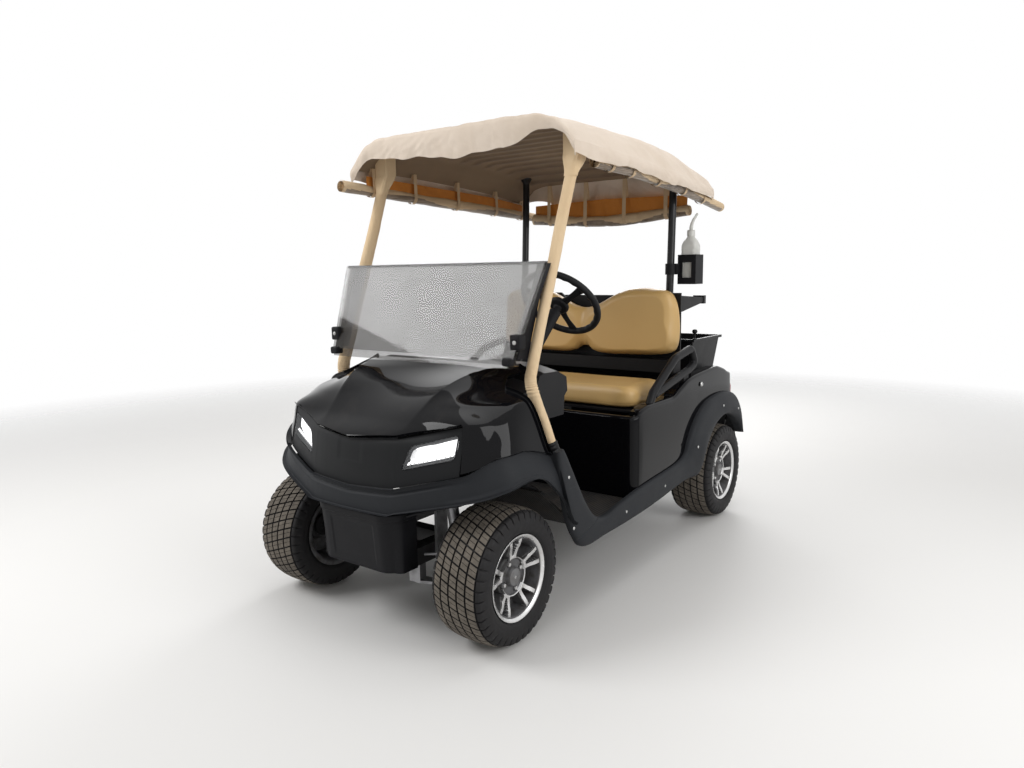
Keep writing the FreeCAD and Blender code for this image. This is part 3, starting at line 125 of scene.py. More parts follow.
def table_curve(keys, values, x):
    """Monotone cubic through a table: slopes are harmonic means of the neighbouring slopes, so nothing overshoots."""
    k, v, x = np.asarray(keys, float), np.asarray(values, float), np.asarray(x, float)
    h, s = np.diff(k), np.diff(v, axis=0)
    s = s / h.reshape(-1, *([1] * (v.ndim - 1)))
    m = np.zeros_like(v)
    m[0], m[-1] = s[0], s[-1]
    both = s[1:] * s[:-1]
    m[1:-1] = np.where(both > 0, 2 * both / np.where(np.abs(s[1:] + s[:-1]) < 1e-12, 1, s[1:] + s[:-1]), 0.0)
    i = np.clip(np.searchsorted(k, x, side="right") - 1, 0, len(k) - 2)
    t = np.clip((x - k[i]) / h[i], 0, 1)
    shape = t.shape + (1,) * (v.ndim - 1)
    t, w = t.reshape(shape), h[i].reshape(shape)
    return ((1 + 2 * t) * (1 - t) ** 2 * v[i] + t * (1 - t) ** 2 * w * m[i]
            + t * t * (3 - 2 * t) * v[i + 1] + t * t * (t - 1) * w * m[i + 1])


def grid_faces(rows, columns, close_rows, close_columns):
    """Quads of a grid of points numbered row by row."""
    i = np.arange(rows if close_rows else rows - 1)
    j = np.arange(columns if close_columns else columns - 1)
    a, b = np.meshgrid(i, j, indexing="ij")
    c, d = (a + 1) % rows, (b + 1) % columns
    return np.stack([a * columns + b, a * columns + d, c * columns + d, c * columns + b], -1).reshape(-1, 4)


class Shape:
    """Points and faces gathered from several surfaces, with one number a point for the finish."""

    def __init__(self):
        self.points, self.faces, self.marks, self.count = [], [], [], 0

    def add(self, points, faces, mark=0.0):
        """Takes in points, faces numbered from 0, and one mark for all points or one for each."""
        points = np.asarray(points, float).reshape(-1, 3)
        self.points.append(points)
        self.marks.append(np.broadcast_to(np.asarray(mark, float).reshape(-1), (len(points),)).copy()
                          if np.size(mark) in (1, len(points)) else np.zeros(len(points)))
        self.faces += (np.asarray(faces, int) + self.count).tolist()
        self.count += len(points)
        return self

    def grid(self, p, close_rows=False, close_columns=False, mark=0.0, flip=False):
        """A surface through a grid of points. flip turns its faces over."""
        p = np.asarray(p, float)
        f = grid_faces(*p.shape[:2], close_rows, close_columns)
        return self.add(p, f[:, ::-1] if flip else f, mark)

    def fan(self, ring, flip=False, mark=0.0):
        """A flat or dished end: the ring's points joined to their mean."""
        ring = np.asarray(ring, float)
        n = len(ring)
        p = np.vstack([ring, ring.mean(0)])
        f = np.stack([np.arange(n), (np.arange(n) + 1) % n, np.full(n, n)], -1)
        return self.add(p, f[:, ::-1] if flip else f, mark)

    def both_sides(self):
        """The same surfaces again on the other side of the cart: x becomes -x and the faces turn over."""
        self.points += [p * [-1, 1, 1] for p in self.points]
        self.marks += self.marks
        self.faces += [[i + self.count for i in reversed(f)] for f in self.faces]
        self.count *= 2
        return self

    def other_side(self):
        """x becomes -x and the faces turn over."""
        self.points = [p * [-1, 1, 1] for p in self.points]
        self.faces = [f[::-1] for f in self.faces]
        return self

    def moved(self, x, y, z):
        """Shifts every point."""
        self.points = [p + [x, y, z] for p in self.points]
        return self

    def turned(self, matrix):
        """Turns every point about the origin."""
        self.points = [p @ np.asarray(matrix, float).T for p in self.points]
        return self


def circle(count):
    """Angles of count points round a circle."""
    return np.linspace(0, 2 * np.pi, count, endpoint=False)


def tube_grid(path, radius, sides, closed=False, flat=1.0):
    """Circles of the given radius carried square to a path; each frame is the last one turned by the least angle.
    flat scales the circle along its second direction."""
    p = np.asarray(path, float)
    n = len(p)
    way = unit(np.roll(p, -1, 0) - np.roll(p, 1, 0)) if closed else unit(np.gradient(p, axis=0))
    start = np.array([0, 0, 1.0]) if abs(way[0, 2]) < 0.9 else np.array([1.0, 0, 0])
    normal = np.zeros_like(p)
    normal[0] = unit(start - way[0] * (start @ way[0]))
    for i in range(1, n):
        normal[i] = unit(normal[i - 1] - way[i] * (normal[i - 1] @ way[i]))
    side = np.cross(way, normal)
    angle = circle(sides)
    r = np.broadcast_to(np.asarray(radius, float).reshape(-1, 1) if np.ndim(radius) else radius, (n, sides))
    return (p[:, None] + (np.cos(angle) * r)[..., None] * normal[:, None]
            + (np.sin(angle) * r * flat)[..., None] * side[:, None])


def add_tube(shape, path, radius, sides, flat=1.0):
    """A tube along an open path, with a fan on each end."""
    g = tube_grid(path, radius, sides, flat=flat)
    return shape.grid(g, close_columns=True).fan(g[0], flip=True).fan(g[-1])


def add_turned(shape, profile, axis, sides, centre=(0, 0, 0), mark=0.0):
    """A profile of (along, radius) turned about an axis through centre."""
    prof = np.asarray(profile, float)
    a = circle(sides)
    along = np.broadcast_to(prof[:, 0][:, None], (len(prof), sides))
    c, s = prof[:, 1][:, None] * np.cos(a), prof[:, 1][:, None] * np.sin(a)
    parts = {"x": (along, c, s), "y": (s, along, c), "z": (c, s, along)}[axis]
    p = np.stack(parts, -1) + np.asarray(centre, float)
    return shape.grid(p, close_columns=True, mark=mark, flip=True)


def add_slab(shape, outline, low, high, role, round_by, steps):
    """An outline pushed from low to high along z, or along y when role is y. Near each end it shrinks by
    r(1 - sin a) while it is r(1 - cos a) away from that end, which rounds its rims."""
    o = np.asarray(outline, float)
    area = 0.5 * np.sum(o[:, 0] * np.roll(o[:, 1], -1) - np.roll(o[:, 0], -1) * o[:, 1])
    if area < 0:
        o = o[::-1]
    edge = unit(np.roll(o, -1, 0) - o)
    out = np.stack([edge[:, 1], -edge[:, 0]], -1)
    corner = unit(out + np.roll(out, 1, 0))
    corner = corner / np.maximum((corner * out).sum(1, keepdims=True), 0.35)
    a = np.linspace(0, np.pi / 2, steps + 1)
    sink = np.concatenate([round_by * (1 - np.sin(a)), round_by * (1 - np.sin(a[::-1]))])
    level = np.concatenate([low + round_by * (1 - np.cos(a)), high - round_by * (1 - np.cos(a[::-1]))])
    rings = o[None] - corner[None] * sink[:, None, None]
    heights = np.broadcast_to(level[:, None], rings.shape[:2])
    u, v = rings[..., 0], rings[..., 1]
    p = np.stack((u, v, heights) if role == "z" else (u, low + high - heights, v), -1)
    return shape.grid(p, close_columns=True).fan(p[0], flip=True).fan(p[-1])


def rounded(points, radius, steps):
    """An outline with each corner replaced by a quadratic arc that starts and ends radius away from it."""
    p = np.asarray(points, float)
    r = np.broadcast_to(radius, (len(p),))
    t = np.linspace(0, 1, steps + 1)[:, None]
    result = []
    for i in range(len(p)):
        a, b, c = p[i - 1], p[i], p[(i + 1) % len(p)]
        ra, rc = min(r[i], 0.49 * np.linalg.norm(a - b)), min(r[i], 0.49 * np.linalg.norm(c - b))
        s, e = b + unit(a - b) * ra, b + unit(c - b) * rc
        result.append((1 - t) ** 2 * s + 2 * t * (1 - t) * b + t * t * e)
    return np.vstack(result)


def build(name, shape, finish, body="chassis", replaces=(), wall=0.0, weld=True):
    """Makes the object of a shape, gives it its finish and sets it on its body. wall is the thickness of a sheet
    whose back shows; weld joins points that lie within 10 micrometres."""
    mesh = bpy.data.meshes.new(name)
    points = np.vstack(shape.points)
    mesh.from_pydata(points.tolist(), [], shape.faces)
    mark = mesh.attributes.new("mark", "FLOAT", "POINT")
    mark.data.foreach_set("value", np.concatenate(shape.marks).astype(np.float32))
    if weld:
        b = bmesh.new()
        b.from_mesh(mesh)
        bmesh.ops.remove_doubles(b, verts=b.verts, dist=1e-5)
        b.to_mesh(mesh)
        b.free()
    mesh.validate()
    mesh.shade_smooth()
    item = bpy.data.objects.new(name, mesh)
    scene.collection.objects.link(item)
    if wall:
        m = item.modifiers.new("wall", "SOLIDIFY")
        m.thickness, m.offset = wall, -1.0
    m = item.modifiers.new("shading", "EDGE_SPLIT")
    m.split_angle = math.radians(38)
    mesh.materials.append(finish)
    if body:
        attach(item, body)
    if replaces:
        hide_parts(*replaces)
    return item


# finishes
class Wire:
    """A shader socket that takes part in sums: each operator adds one Math node."""

    def __init__(self, finish, socket):
        self.finish, self.socket = finish, socket

    def math(self, operation, *others):
        """One Math node on this socket and the others."""
        return self.finish.node("ShaderNodeMath", {"operation": operation}, dict(enumerate((self,) + others)))

    def __add__(self, other):
        return self.math("ADD", other)

    def __mul__(self, other):
        return self.math("MULTIPLY", other)

    def __sub__(self, other):
        return self.math("SUBTRACT", other)

    def __rsub__(self, other):
        return self.finish.node("ShaderNodeMath", {"operation": "SUBTRACT"}, {0: other, 1: self})

    def __pow__(self, other):
        return self.math("POWER", other)

    __radd__, __rmul__ = __add__, __mul__

    def span(self, low, high, start=0.0, end=1.0):
        """Goes from start at low to end at high, and stays there outside them."""
        return self.finish.node("ShaderNodeMapRange", {"clamp": True},
                                {"Value": self, "From Min": low, "From Max": high, "To Min": start, "To Max": end})


def srgb(red, green, blue):
    """A colour as a screen shows it, 0 to 255, as the linear light that a shader takes."""
    c = np.array([red, green, blue]) / 255.0
    return tuple(np.where(c <= 0.04045, c / 12.92, ((c + 0.055) / 1.055) ** 2.4))


class Finish:
    """One material: a Principled shader, with methods that add the nodes feeding it."""

    def __init__(self, name, colour, rough, metal=0.0, **fixed):
        self.material = bpy.data.materials.new(name)
        self.material.use_nodes = True
        self.tree = self.material.node_tree
        self.shader = self.tree.nodes["Principled BSDF"]
        self.place = self.tree.nodes.new("ShaderNodeTexCoord").outputs["Object"]
        self.set("Base Color", colour)
        self.set("Roughness", rough)
        self.set("Metallic", metal)
        for key, value in fixed.items():
            self.set(key.replace("_", " "), value)

    def put(self, socket, value):
        """Links a wire or a socket to the input, or sets the input to a plain value."""
        if isinstance(value, (Wire, bpy.types.NodeSocket)):
            self.tree.links.new(value.socket if isinstance(value, Wire) else value, socket)
        elif socket.type == "RGBA" and len(value) == 3:
            socket.default_value = (*value, 1.0)
        else:
            socket.default_value = value

    def set(self, name, value):
        """Feeds one input of the Principled shader."""
        self.put(self.shader.inputs[name], value)

    def node(self, kind, settings=None, inputs=None, output=0):
        """Adds a node with its settings and inputs, and gives one of its outputs."""
        n = self.tree.nodes.new(kind)
        for key, value in (settings or {}).items():
            setattr(n, key, value)
        for key, value in (inputs or {}).items():
            self.put(n.inputs[key], value)
        return Wire(self, n.outputs[output])

    def stretched(self, scale, turn=(0, 0, 0)):
        """The object's coordinates scaled and turned."""
        return self.node("ShaderNodeMapping", None, {"Vector": self.place, "Scale": scale, "Rotation": turn})

    def noise(self, size, detail=3.0, rough=0.55, where=None, distortion=0.0):
        """Cloudy noise whose features are about size metres across."""
        return self.node("ShaderNodeTexNoise", None, {"Vector": where or self.place, "Scale": 0.6 / size,
                         "Detail": detail, "Roughness": rough, "Distortion": distortion})

    def cells(self, size, feature="F1"):
        """Rounded cells about size metres across."""
        return self.node("ShaderNodeTexVoronoi", {"feature": feature}, {"Vector": self.place, "Scale": 1.0 / size})

    def bands(self, size, direction="X", where=None, distortion=0.0):
        """Sine bands that repeat each size metres."""
        return self.node("ShaderNodeTexWave", {"bands_direction": direction}, {"Vector": where or self.place,
                         "Scale": 0.314 / size, "Distortion": distortion}, output=1)

    def mark(self):
        """The number that build() stores at each point."""
        return self.node("ShaderNodeAttribute", {"attribute_name": "mark"}, output=2)

    def axis(self, letter):
        """One of the object's coordinates."""
        return self.node("ShaderNodeSeparateXYZ", None, {0: self.place}, output="XYZ".index(letter))

    def facing_up(self):
        """How far the surface faces up, from its own normal: -1 down to 1 up."""
        geometry = self.node("ShaderNodeNewGeometry", output=1)
        return self.node("ShaderNodeSeparateXYZ", None, {0: geometry}, output=2)

    def mix(self, factor, first, second):
        """The first colour at factor 0, the second at 1. The colour inputs of the node are its 6th and 7th."""
        return self.node("ShaderNodeMix", {"data_type": "RGBA"}, {0: factor, 6: first, 7: second}, output=2)

    def bump(self, height, depth, strength):
        """Small relief: depth is the distance in metres that height 1 stands for."""
        self.set("Normal", self.node("ShaderNodeBump", None,
                                     {"Height": height, "Distance": depth, "Strength": strength}))


def gloss_black():
    """Body colour: deep black under a clear coat, slight orange peel, dust that settles where it faces up."""
    f = Finish("gloss_black", (0.004, 0.004, 0.005), 0.08, Coat_Weight=0.38, Coat_Roughness=0.02, Coat_IOR=1.34,
               Specular_IOR_Level=0.05)
    dust = f.noise(0.05, 6, 0.65).span(0.52, 0.8)
    smear = f.noise(0.16, 4, 0.6, f.stretched((1, 1, 0.35))).span(0.45, 0.75)
    up = f.facing_up().span(0.2, 1.0)
    f.set("Roughness", 0.05 + dust * 0.05 + smear * 0.05 + up * dust * 0.1)
    f.set("Base Color", f.mix(dust * up * 0.10 + dust * 0.01, (0.0035, 0.0035, 0.0045), (0.10, 0.09, 0.08)))
    f.bump(f.noise(0.006, 2), 0.00008, 0.5)
    return f.material


def moulding(name, colour, rough, grain=0.0011, depth=0.00012, wear=0.12, **fixed):
    """Unpainted moulded plastic: spark-eroded grain, chalky patches where it faces up, fine scuffs."""
    fixed.setdefault("Specular_IOR_Level", 0.16)
    f = Finish(name, colour, rough, **fixed)
    patch = f.noise(0.09, 5, 0.6).span(0.42, 0.75)
    scuff = f.noise(0.02, 4, 0.7, f.stretched((1.0, 0.25, 3.0), (0.3, 0.2, 0.5))).span(0.62, 0.78)
    up = f.facing_up().span(0.1, 1.0)
    pale = tuple(min(1.0, c * 1.8 + 0.014) for c in colour)
    f.set("Base Color", f.mix(patch * wear + scuff * wear * 0.8 + up * patch * 0.12, colour, pale))
    f.set("Roughness", rough + patch * 0.1 - scuff * 0.08)
    f.bump(f.cells(grain) * 0.7 + f.noise(grain * 3, 2) * 0.6, depth, 0.7)
    return f.material


def tyre_rubber():
    """Tyre: mark 1 is the worn dusty top of a tread block, 0.5 the sidewall, 0 a groove."""
    f = Finish("tyre", (0.012, 0.012, 0.013), 0.7, Specular_IOR_Level=0.25)
    mark = f.mark()
    top = mark.span(0.8, 0.98)
    dust = f.noise(0.012, 6, 0.7).span(0.3, 0.7)
    wide = f.noise(0.07, 3).span(0.35, 0.7)
    side = mark.span(0.3, 0.5)
    worn = f.mix(dust * 0.75 + wide * 0.25, (0.070, 0.060, 0.050), (0.205, 0.180, 0.150))
    wall = f.mix(dust * 0.2 + wide * 0.1, (0.0085, 0.0085, 0.010), (0.045, 0.040, 0.036))
    f.set("Base Color", f.mix(top, f.mix(side, (0.006, 0.006, 0.006), wall), worn))
    f.set("Roughness", 0.55 + dust * 0.25 + top * 0.15)
    f.bump(f.noise(0.0025, 4), 0.0003, 0.6)
    return f.material


def machined_alloy():
    """Rim: mark 1 is the bright turned face, 0 the grey painted pocket; brake dust gathers in the pockets."""
    f = Finish("alloy", (0.6, 0.6, 0.61), 0.3, 1.0)
    face = f.mark().span(0.55, 0.8)
    grime = f.noise(0.02, 5, 0.65).span(0.4, 0.72)
    paint = f.mix(grime, (0.10, 0.10, 0.105), (0.045, 0.040, 0.036))
    metal = f.mix(grime * 0.35, (0.72, 0.72, 0.72), (0.42, 0.40, 0.38))
    f.set("Base Color", f.mix(face, paint, metal))
    f.set("Metallic", face * 0.75 + 0.25)
    f.set("Roughness", 0.48 - face * 0.22 + grime * 0.12)
    f.bump(f.bands(0.0011, "X", f.stretched((0.2, 1, 1)), 2.0) * face + f.noise(0.003) * 0.6, 0.00006, 0.5)
    return f.material


def bare_metal(name, colour, rough, metal=1.0, grime=0.35):
    """Plain, zinc plated or cast metal with grime in patches."""
    f = Finish(name, colour, rough, metal)
    dirt = f.noise(0.035, 6, 0.65).span(0.42, 0.7)
    f.set("Base Color", f.mix(dirt * grime, colour, (0.05, 0.045, 0.04)))
    f.set("Roughness", rough + dirt * 0.22)
    f.set("Metallic", metal - dirt * grime * metal)
    f.bump(f.noise(0.004, 4), 0.0002, 0.5)
    return f.material


def cloth(name, colour, shade, thread=0.0011, blotch=0.35):
    """Coated woven cloth: crossing threads, faint creases, and stains in patches."""
    f = Finish(name, colour, 0.85, Sheen_Weight=0.15, Sheen_Roughness=0.4)
    warp = f.bands(thread, "X", f.stretched((1, 1, 1), (0.1, 0.2, 0.4)), 0.4)
    weft = f.bands(thread, "Z", f.stretched((1, 1, 1), (0.2, 0.1, 0.3)), 0.4)
    stain = f.noise(0.11, 5, 0.6).span(0.45, 0.8)
    crease = f.noise(0.045, 4, 0.6, f.stretched((1.0, 1.0, 0.45)), 1.2)
    f.set("Base Color", f.mix(stain * blotch + warp * weft * 0.06, colour, shade))
    f.set("Roughness", 0.78 + stain * 0.12)
    f.bump(crease * 3.0 + (warp + weft) * 0.09, 0.0022, 0.55)
    return f.material


def tan_vinyl():
    """Seat cover: smooth vinyl with a pebbled grain, a little shine where it is rubbed, dirt along its seams."""
    base = srgb(204, 168, 108)
    f = Finish("tan_vinyl", base, 0.42, Coat_Weight=0.08, Coat_Roughness=0.35)
    pebble = f.cells(0.0022, "SMOOTH_F1")
    fine = f.noise(0.0016, 3)
    rubbed = f.noise(0.13, 3).span(0.4, 0.7)
    seam = f.mark().span(0.2, 0.9)
    f.set("Base Color", f.mix(seam * 0.55 + rubbed * 0.10, base, srgb(166, 128, 80)))
    f.set("Roughness", 0.46 - rubbed * 0.1 + seam * 0.1)
    f.bump(pebble * 0.6 + fine * 0.4 + f.noise(0.05, 2) * 2.5, 0.00035, 0.55)
    return f.material


def see_through(name, colour, rough, alpha, dirt=0.1, **fixed):
    """A clear sheet or shell: tinted, part see-through, with haze and dust that hide a little more."""
    f = Finish(name, colour, rough, **fixed)
    haze = f.noise(0.09, 5, 0.6).span(0.45, 0.8)
    smear = f.noise(0.05, 3, 0.6, f.stretched((0.3, 1, 1.6), (0, 0.5, 0))).span(0.55, 0.8)
    f.set("Alpha", alpha + haze * dirt + smear * dirt * 0.7)
    f.set("Roughness", rough + haze * 0.08 + smear * 0.05)
    pale = tuple(min(1.0, c + 0.12) for c in colour)
    f.set("Base Color", f.mix(haze * 0.3, colour, pale))
    return f.material


def lit_lens():
    """Headlamp light guide: mark is how strongly a place glows."""
    f = Finish("lamp_glow", (0.75, 0.77, 0.8), 0.15)
    glow = f.mark()
    f.set("Emission Color", f.mix(glow, (0.02, 0.02, 0.025), (1.0, 1.0, 1.0)))
    f.set("Emission Strength", 1.5)
    f.set("Base Color", f.mix(glow, (0.03, 0.03, 0.035), (0.8, 0.8, 0.82)))
    return f.material


def ribbed_mat():
    """Floor mat: ribs along the cart and dust between them."""
    f = Finish("floor_mat", (0.018, 0.018, 0.019), 0.75, Specular_IOR_Level=0.25)
    rib = f.bands(0.012, "X")
    dust = f.noise(0.05, 6, 0.65).span(0.4, 0.75)
    f.set("Base Color", f.mix(dust * 0.45 + (1 - rib) * 0.12, (0.014, 0.014, 0.015), (0.10, 0.085, 0.07)))
    f.set("Roughness", 0.62 + dust * 0.2)
    f.bump(rib + f.cells(0.003) * 0.25, 0.0016, 0.8)
    return f.material


def curtain_roll():
    """Rolled side curtain: mark 0 clear brownish sheet, 1 beige binding; wound layers show as fine lines."""
    f = Finish("curtain", (0.3, 0.25, 0.2), 0.3)
    layer = f.bands(0.006, "Z", f.stretched((1, 0.06, 1)), 3.0)
    cloud = f.noise(0.05, 5, 0.65, f.stretched((1, 0.35, 1))).span(0.35, 0.7)
    bind = f.mark().span(0.4, 0.6)
    clear = f.mix(cloud * 0.8 + layer * 0.2, srgb(92, 76, 62), srgb(168, 152, 134))
    f.set("Base Color", f.mix(bind, clear, f.mix(cloud * 0.4, srgb(222, 198, 164), srgb(186, 156, 118))))
    f.set("Roughness", 0.26 + bind * 0.5 + cloud * 0.12)
    f.bump(layer + cloud, 0.0015, 0.7)
    return f.material


def liner():
    """Roof underside: brownish grey moulding, darker in its ribs, with water marks."""
    base = srgb(140, 120, 98)
    f = Finish("roof_liner", base, 0.75, Specular_IOR_Level=0.2)
    cloud = f.noise(0.2, 5, 0.6).span(0.35, 0.7)
    f.set("Base Color", f.mix(cloud * 0.5 + f.mark() * 0.45, base, srgb(104, 88, 74)))
    f.bump(f.noise(0.003, 3), 0.0002, 0.6)
    return f.material


paint = gloss_black()
satin = moulding("satin_black", (0.008, 0.008, 0.009), 0.42, wear=0.08)
fascia_black = moulding("fascia_black", (0.0085, 0.009, 0.010), 0.46, wear=0.05)
charcoal = moulding("charcoal", (0.018, 0.0195, 0.0225), 0.54, wear=0.10)
trim_black = moulding("trim_black", (0.007, 0.007, 0.0085), 0.52, wear=0.06)
tube_black = moulding("black_tube", (0.011, 0.011, 0.012), 0.3, grain=0.003, depth=0.0001, wear=0.08, Coat_Weight=0.2)
grip_black = moulding("grip", (0.012, 0.012, 0.013), 0.48, grain=0.0018, depth=0.0002)
pedal_black = moulding("pedal_rubber", (0.015, 0.015, 0.016), 0.7, grain=0.004, depth=0.0005)
battery_black = moulding("battery_case", (0.02, 0.02, 0.023), 0.5)
rubber = tyre_rubber()
alloy = machined_alloy()
zinc = bare_metal("zinc", (0.55, 0.55, 0.54), 0.32, 1.0, 0.25)
grey_metal = bare_metal("frame_metal", (0.30, 0.30, 0.31), 0.45, 0.85, 0.5)
cast_black = bare_metal("cast_black", (0.035, 0.035, 0.037), 0.5, 0.4, 0.4)
motor_grey = bare_metal("motor_case", (0.11, 0.11, 0.115), 0.5, 0.5, 0.4)
cream = cloth("cream_cloth", srgb(224, 209, 193), srgb(192, 172, 148))
sleeve_cloth = cloth("sleeve_cloth", srgb(228, 202, 164), srgb(196, 160, 116))
vinyl = tan_vinyl()
pane = see_through("smoked_pane", (0.050, 0.044, 0.038), 0.04, 0.37, 0.05)
lens = see_through("lamp_lens", (0.6, 0.62, 0.64), 0.03, 0.12, 0.03)
glow = lit_lens()
red_lens = see_through("red_lens", (0.35, 0.006, 0.006), 0.08, 0.88, 0.05, Coat_Weight=0.5)
bottle_plastic = see_through("clear_bottle", (0.72, 0.72, 0.68), 0.3, 0.72, 0.1)
amber_sheet = cloth("amber_sheet", srgb(206, 130, 50), srgb(158, 94, 34), 0.0016, 0.4)
mat_rubber = ribbed_mat()
curtain = curtain_roll()
roof_liner = liner()


# front skin: one surface, split along its seams; millimetres, from the front axle's middle
HOOD_TOP = 886
LAMP_MIDDLE = np.array([308, 652])
LAMP_ROUND = 16
SKIN_Z = [340, 530, 640, 676, 736, 786, 826, 866, 886]
SKIN = np.array([
    [(0, -253), (190, -243), (420, -163), (530, -80), (572, 0), (575, 130), (575, 262)],
    [(0, -240), (190, -230), (415, -155), (520, -78), (560, 0), (562, 130), (558, 262)],
    [(0, -232), (190, -214), (412, -137), (490, -72), (524, 0), (526, 130), (522, 262)],
    [(0, -223), (190, -207), (408, -130), (480, -62), (514, 4), (518, 130), (516, 262)],
    [(0, -135), (200, -140), (403, -118), (470, -40), (498, 30), (505, 140), (505, 262)],
    [(0, -50), (216, -82), (330, -62), (425, 0), (474, 60), (488, 150), (490, 262)],
    [(0, 45), (232, -30), (305, 20), (370, 95), (415, 140), (440, 190), (455, 262)],
    [(0, 185), (262, 60), (300, 110), (322, 160), (345, 190), (368, 225), (390, 262)],
    [(0, 232), (292, 150), (305, 175), (318, 195), (330, 215), (340, 240), (350, 262)]], float)
LIP = np.array([(0, 675), (190, 690), (404, 737)], float)
BASE = np.array([(0, 520), (190, 530), (415, 585)], float)
LAMP = np.array([(218, 591), (392, 635), (397, 713), (246, 671)], float)
FLARE = np.array([(-163, 582), (-68, 635), (32, 645), (132, 620), (172, 602), (214, 462), (240, 384)], float)
ARCH = np.array([(-150, 500), (-68, 535), (12, 555), (92, 540), (182, 460), (222, 398), (246, 352)], float)
BACK_EDGE = np.array([(262, 262), (237.4, 372), (181.4, 590), (171.4, 618), (118, 825), (170, 850), (262, 866),
                      (262, 886)], float)


def skin(u, z):
    """(x, y) at a corner number and a height: the ridged row below, averaged over nearby corner numbers under the
    hood's lip, so that the ridge at corner 1 fades into a bend of the front."""
    u, z = np.broadcast_arrays(np.asarray(u, float), np.asarray(z, float))
    reach = 0.34 * (1 - smooth_step(676, 730, z)) * np.exp(-((u - 1) / 0.45) ** 4)
    parts = [(1, -1.0), (2, -0.5), (2, 0.0), (2, 0.5), (1, 1.0)]
    return sum(weight * ridged(u + side * reach, z) for weight, side in parts) / 8


def ridged(u, z):
    """(x, y) at a corner number and a height. Each of the 7 corners is a monotone cubic in z; between corners 0 and 1
    the row is a cubic that leaves the middle square to it, and from 1 to 6 a Catmull-Rom line, so that corner 1 is a
    ridge."""
    u, z = np.broadcast_arrays(np.asarray(u, float), np.asarray(z, float))
    c = table_curve(SKIN_Z, SKIN, z)
    i = np.clip(u.astype(int), 0, 5)
    a, b, near, far = (np.take_along_axis(c, np.clip(i + k, 0, 6)[..., None, None], axis=-2)[..., 0, :]
                       for k in (-1, 0, 1, 2))
    a = np.where((i <= 1)[..., None], 2 * b - near, a)
    far = np.where((i >= 5)[..., None], 2 * near - b, far)
    t = (u - i)[..., None]
    middle = b + (near - b) * np.concatenate([t, t * t * (1.6 - 0.6 * t)], -1)
    return np.where((i == 0)[..., None], middle, cubic(a, b, near, far, t))


def on_skin(u, z, sink=0.0):
    """The skin's points in metres, sunk along the inward normal, which is the cross product of its two slopes."""
    p = skin(u, z)
    near = 1e-3
    du = skin(np.minimum(u + near, 6), z) - skin(np.maximum(u - near, 0), z)
    dz = skin(u, z + 0.5) - skin(u, z - 0.5)
    points = np.concatenate([p, np.asarray(z, float)[..., None] + 0 * p[..., :1]], -1)
    slope_u = np.concatenate([du, np.zeros_like(du[..., :1])], -1)
    slope_z = np.concatenate([dz, np.ones_like(dz[..., :1])], -1)
    normal = unit(np.cross(slope_u, slope_z))
    points = points - normal * np.asarray(sink, float)[..., None]
    return points * MILLIMETRES + [0, FRONT_AXLE, 0]


def corner_where(value, z, along_y=False):
    """The corner number at which a skin row reaches an x (or a y), by the first crossing on 600 samples of the row."""
    value, z = np.broadcast_arrays(np.asarray(value, float), np.asarray(z, float))
    u = np.linspace(1.2 if along_y else 0.0, 6.0, 600)
    v = np.maximum.accumulate(skin(u, z[..., None])[..., 1 if along_y else 0], axis=-1)
    k = np.clip((v < value[..., None]).sum(-1), 1, 599)
    low = np.take_along_axis(v, (k - 1)[..., None], -1)[..., 0]
    high = np.take_along_axis(v, k[..., None], -1)[..., 0]
    return u[k - 1] + (u[1] - u[0]) * np.clip((value - low) / np.maximum(high - low, 1e-9), 0, 1)


def between(low, high, share):
    """A ruled patch: lines of (corner number, z) at the given shares of the way from low to high."""
    t = share[:, None, None]
    return low[None] * (1 - t) + high[None] * t


def rolled_edges(p, r, depth, edges):
    """A panel's grid with its chosen edges turned in: a quarter round of radius r, then a flange of the given depth.
    Rows and columns are added outside the grid, at p + e r sin a - n (r - r cos a). The letters of edges are b and t
    for the first and last row, l and r for the first and last column."""
    for edge in edges:
        g = {"b": p, "t": p[::-1], "l": p.swapaxes(0, 1), "r": p.swapaxes(0, 1)[::-1]}[edge]
        away = unit(g[0] - g[2])
        along = unit(np.gradient(g[0], axis=0))
        n = unit(np.cross(along, away))
        n = n * {"b": 1, "t": -1, "l": -1, "r": 1}[edge]
        a = np.array([1.0, 0.75, 0.5, 0.25]) * np.pi / 2
        rows = [g[0] + away * r - n * (r + depth)]
        rows += [g[0] + away * r * np.sin(k) - n * r * (1 - np.cos(k)) for k in a]
        g = np.concatenate([np.stack(rows), g])
        p = {"b": g, "t": g[::-1], "l": g.swapaxes(0, 1), "r": g[::-1].swapaxes(0, 1)}[edge]
    return p


def level_line(table, u, gap):
    """The z at which each skin column meets a seam given as z at x: the fixed point of z = table(x(u, z)), plus gap."""
    z = np.full_like(u, table[:, 1].mean())
    for _ in range(8):
        z = np.interp(skin(u, z)[..., 0], table[:, 0], table[:, 1])
    return np.stack([u, z + gap], -1)


def side_line(seam, gap, count):
    """A seam given as (y, z), resampled evenly by its length, moved square to itself by gap, as (corner number, z)."""
    s = evenly(spline(seam, 20 * len(seam)), count)
    s = s + beside(s) * gap
    return np.stack([corner_where(s[:, 0], s[:, 1], True), s[:, 1]], -1)


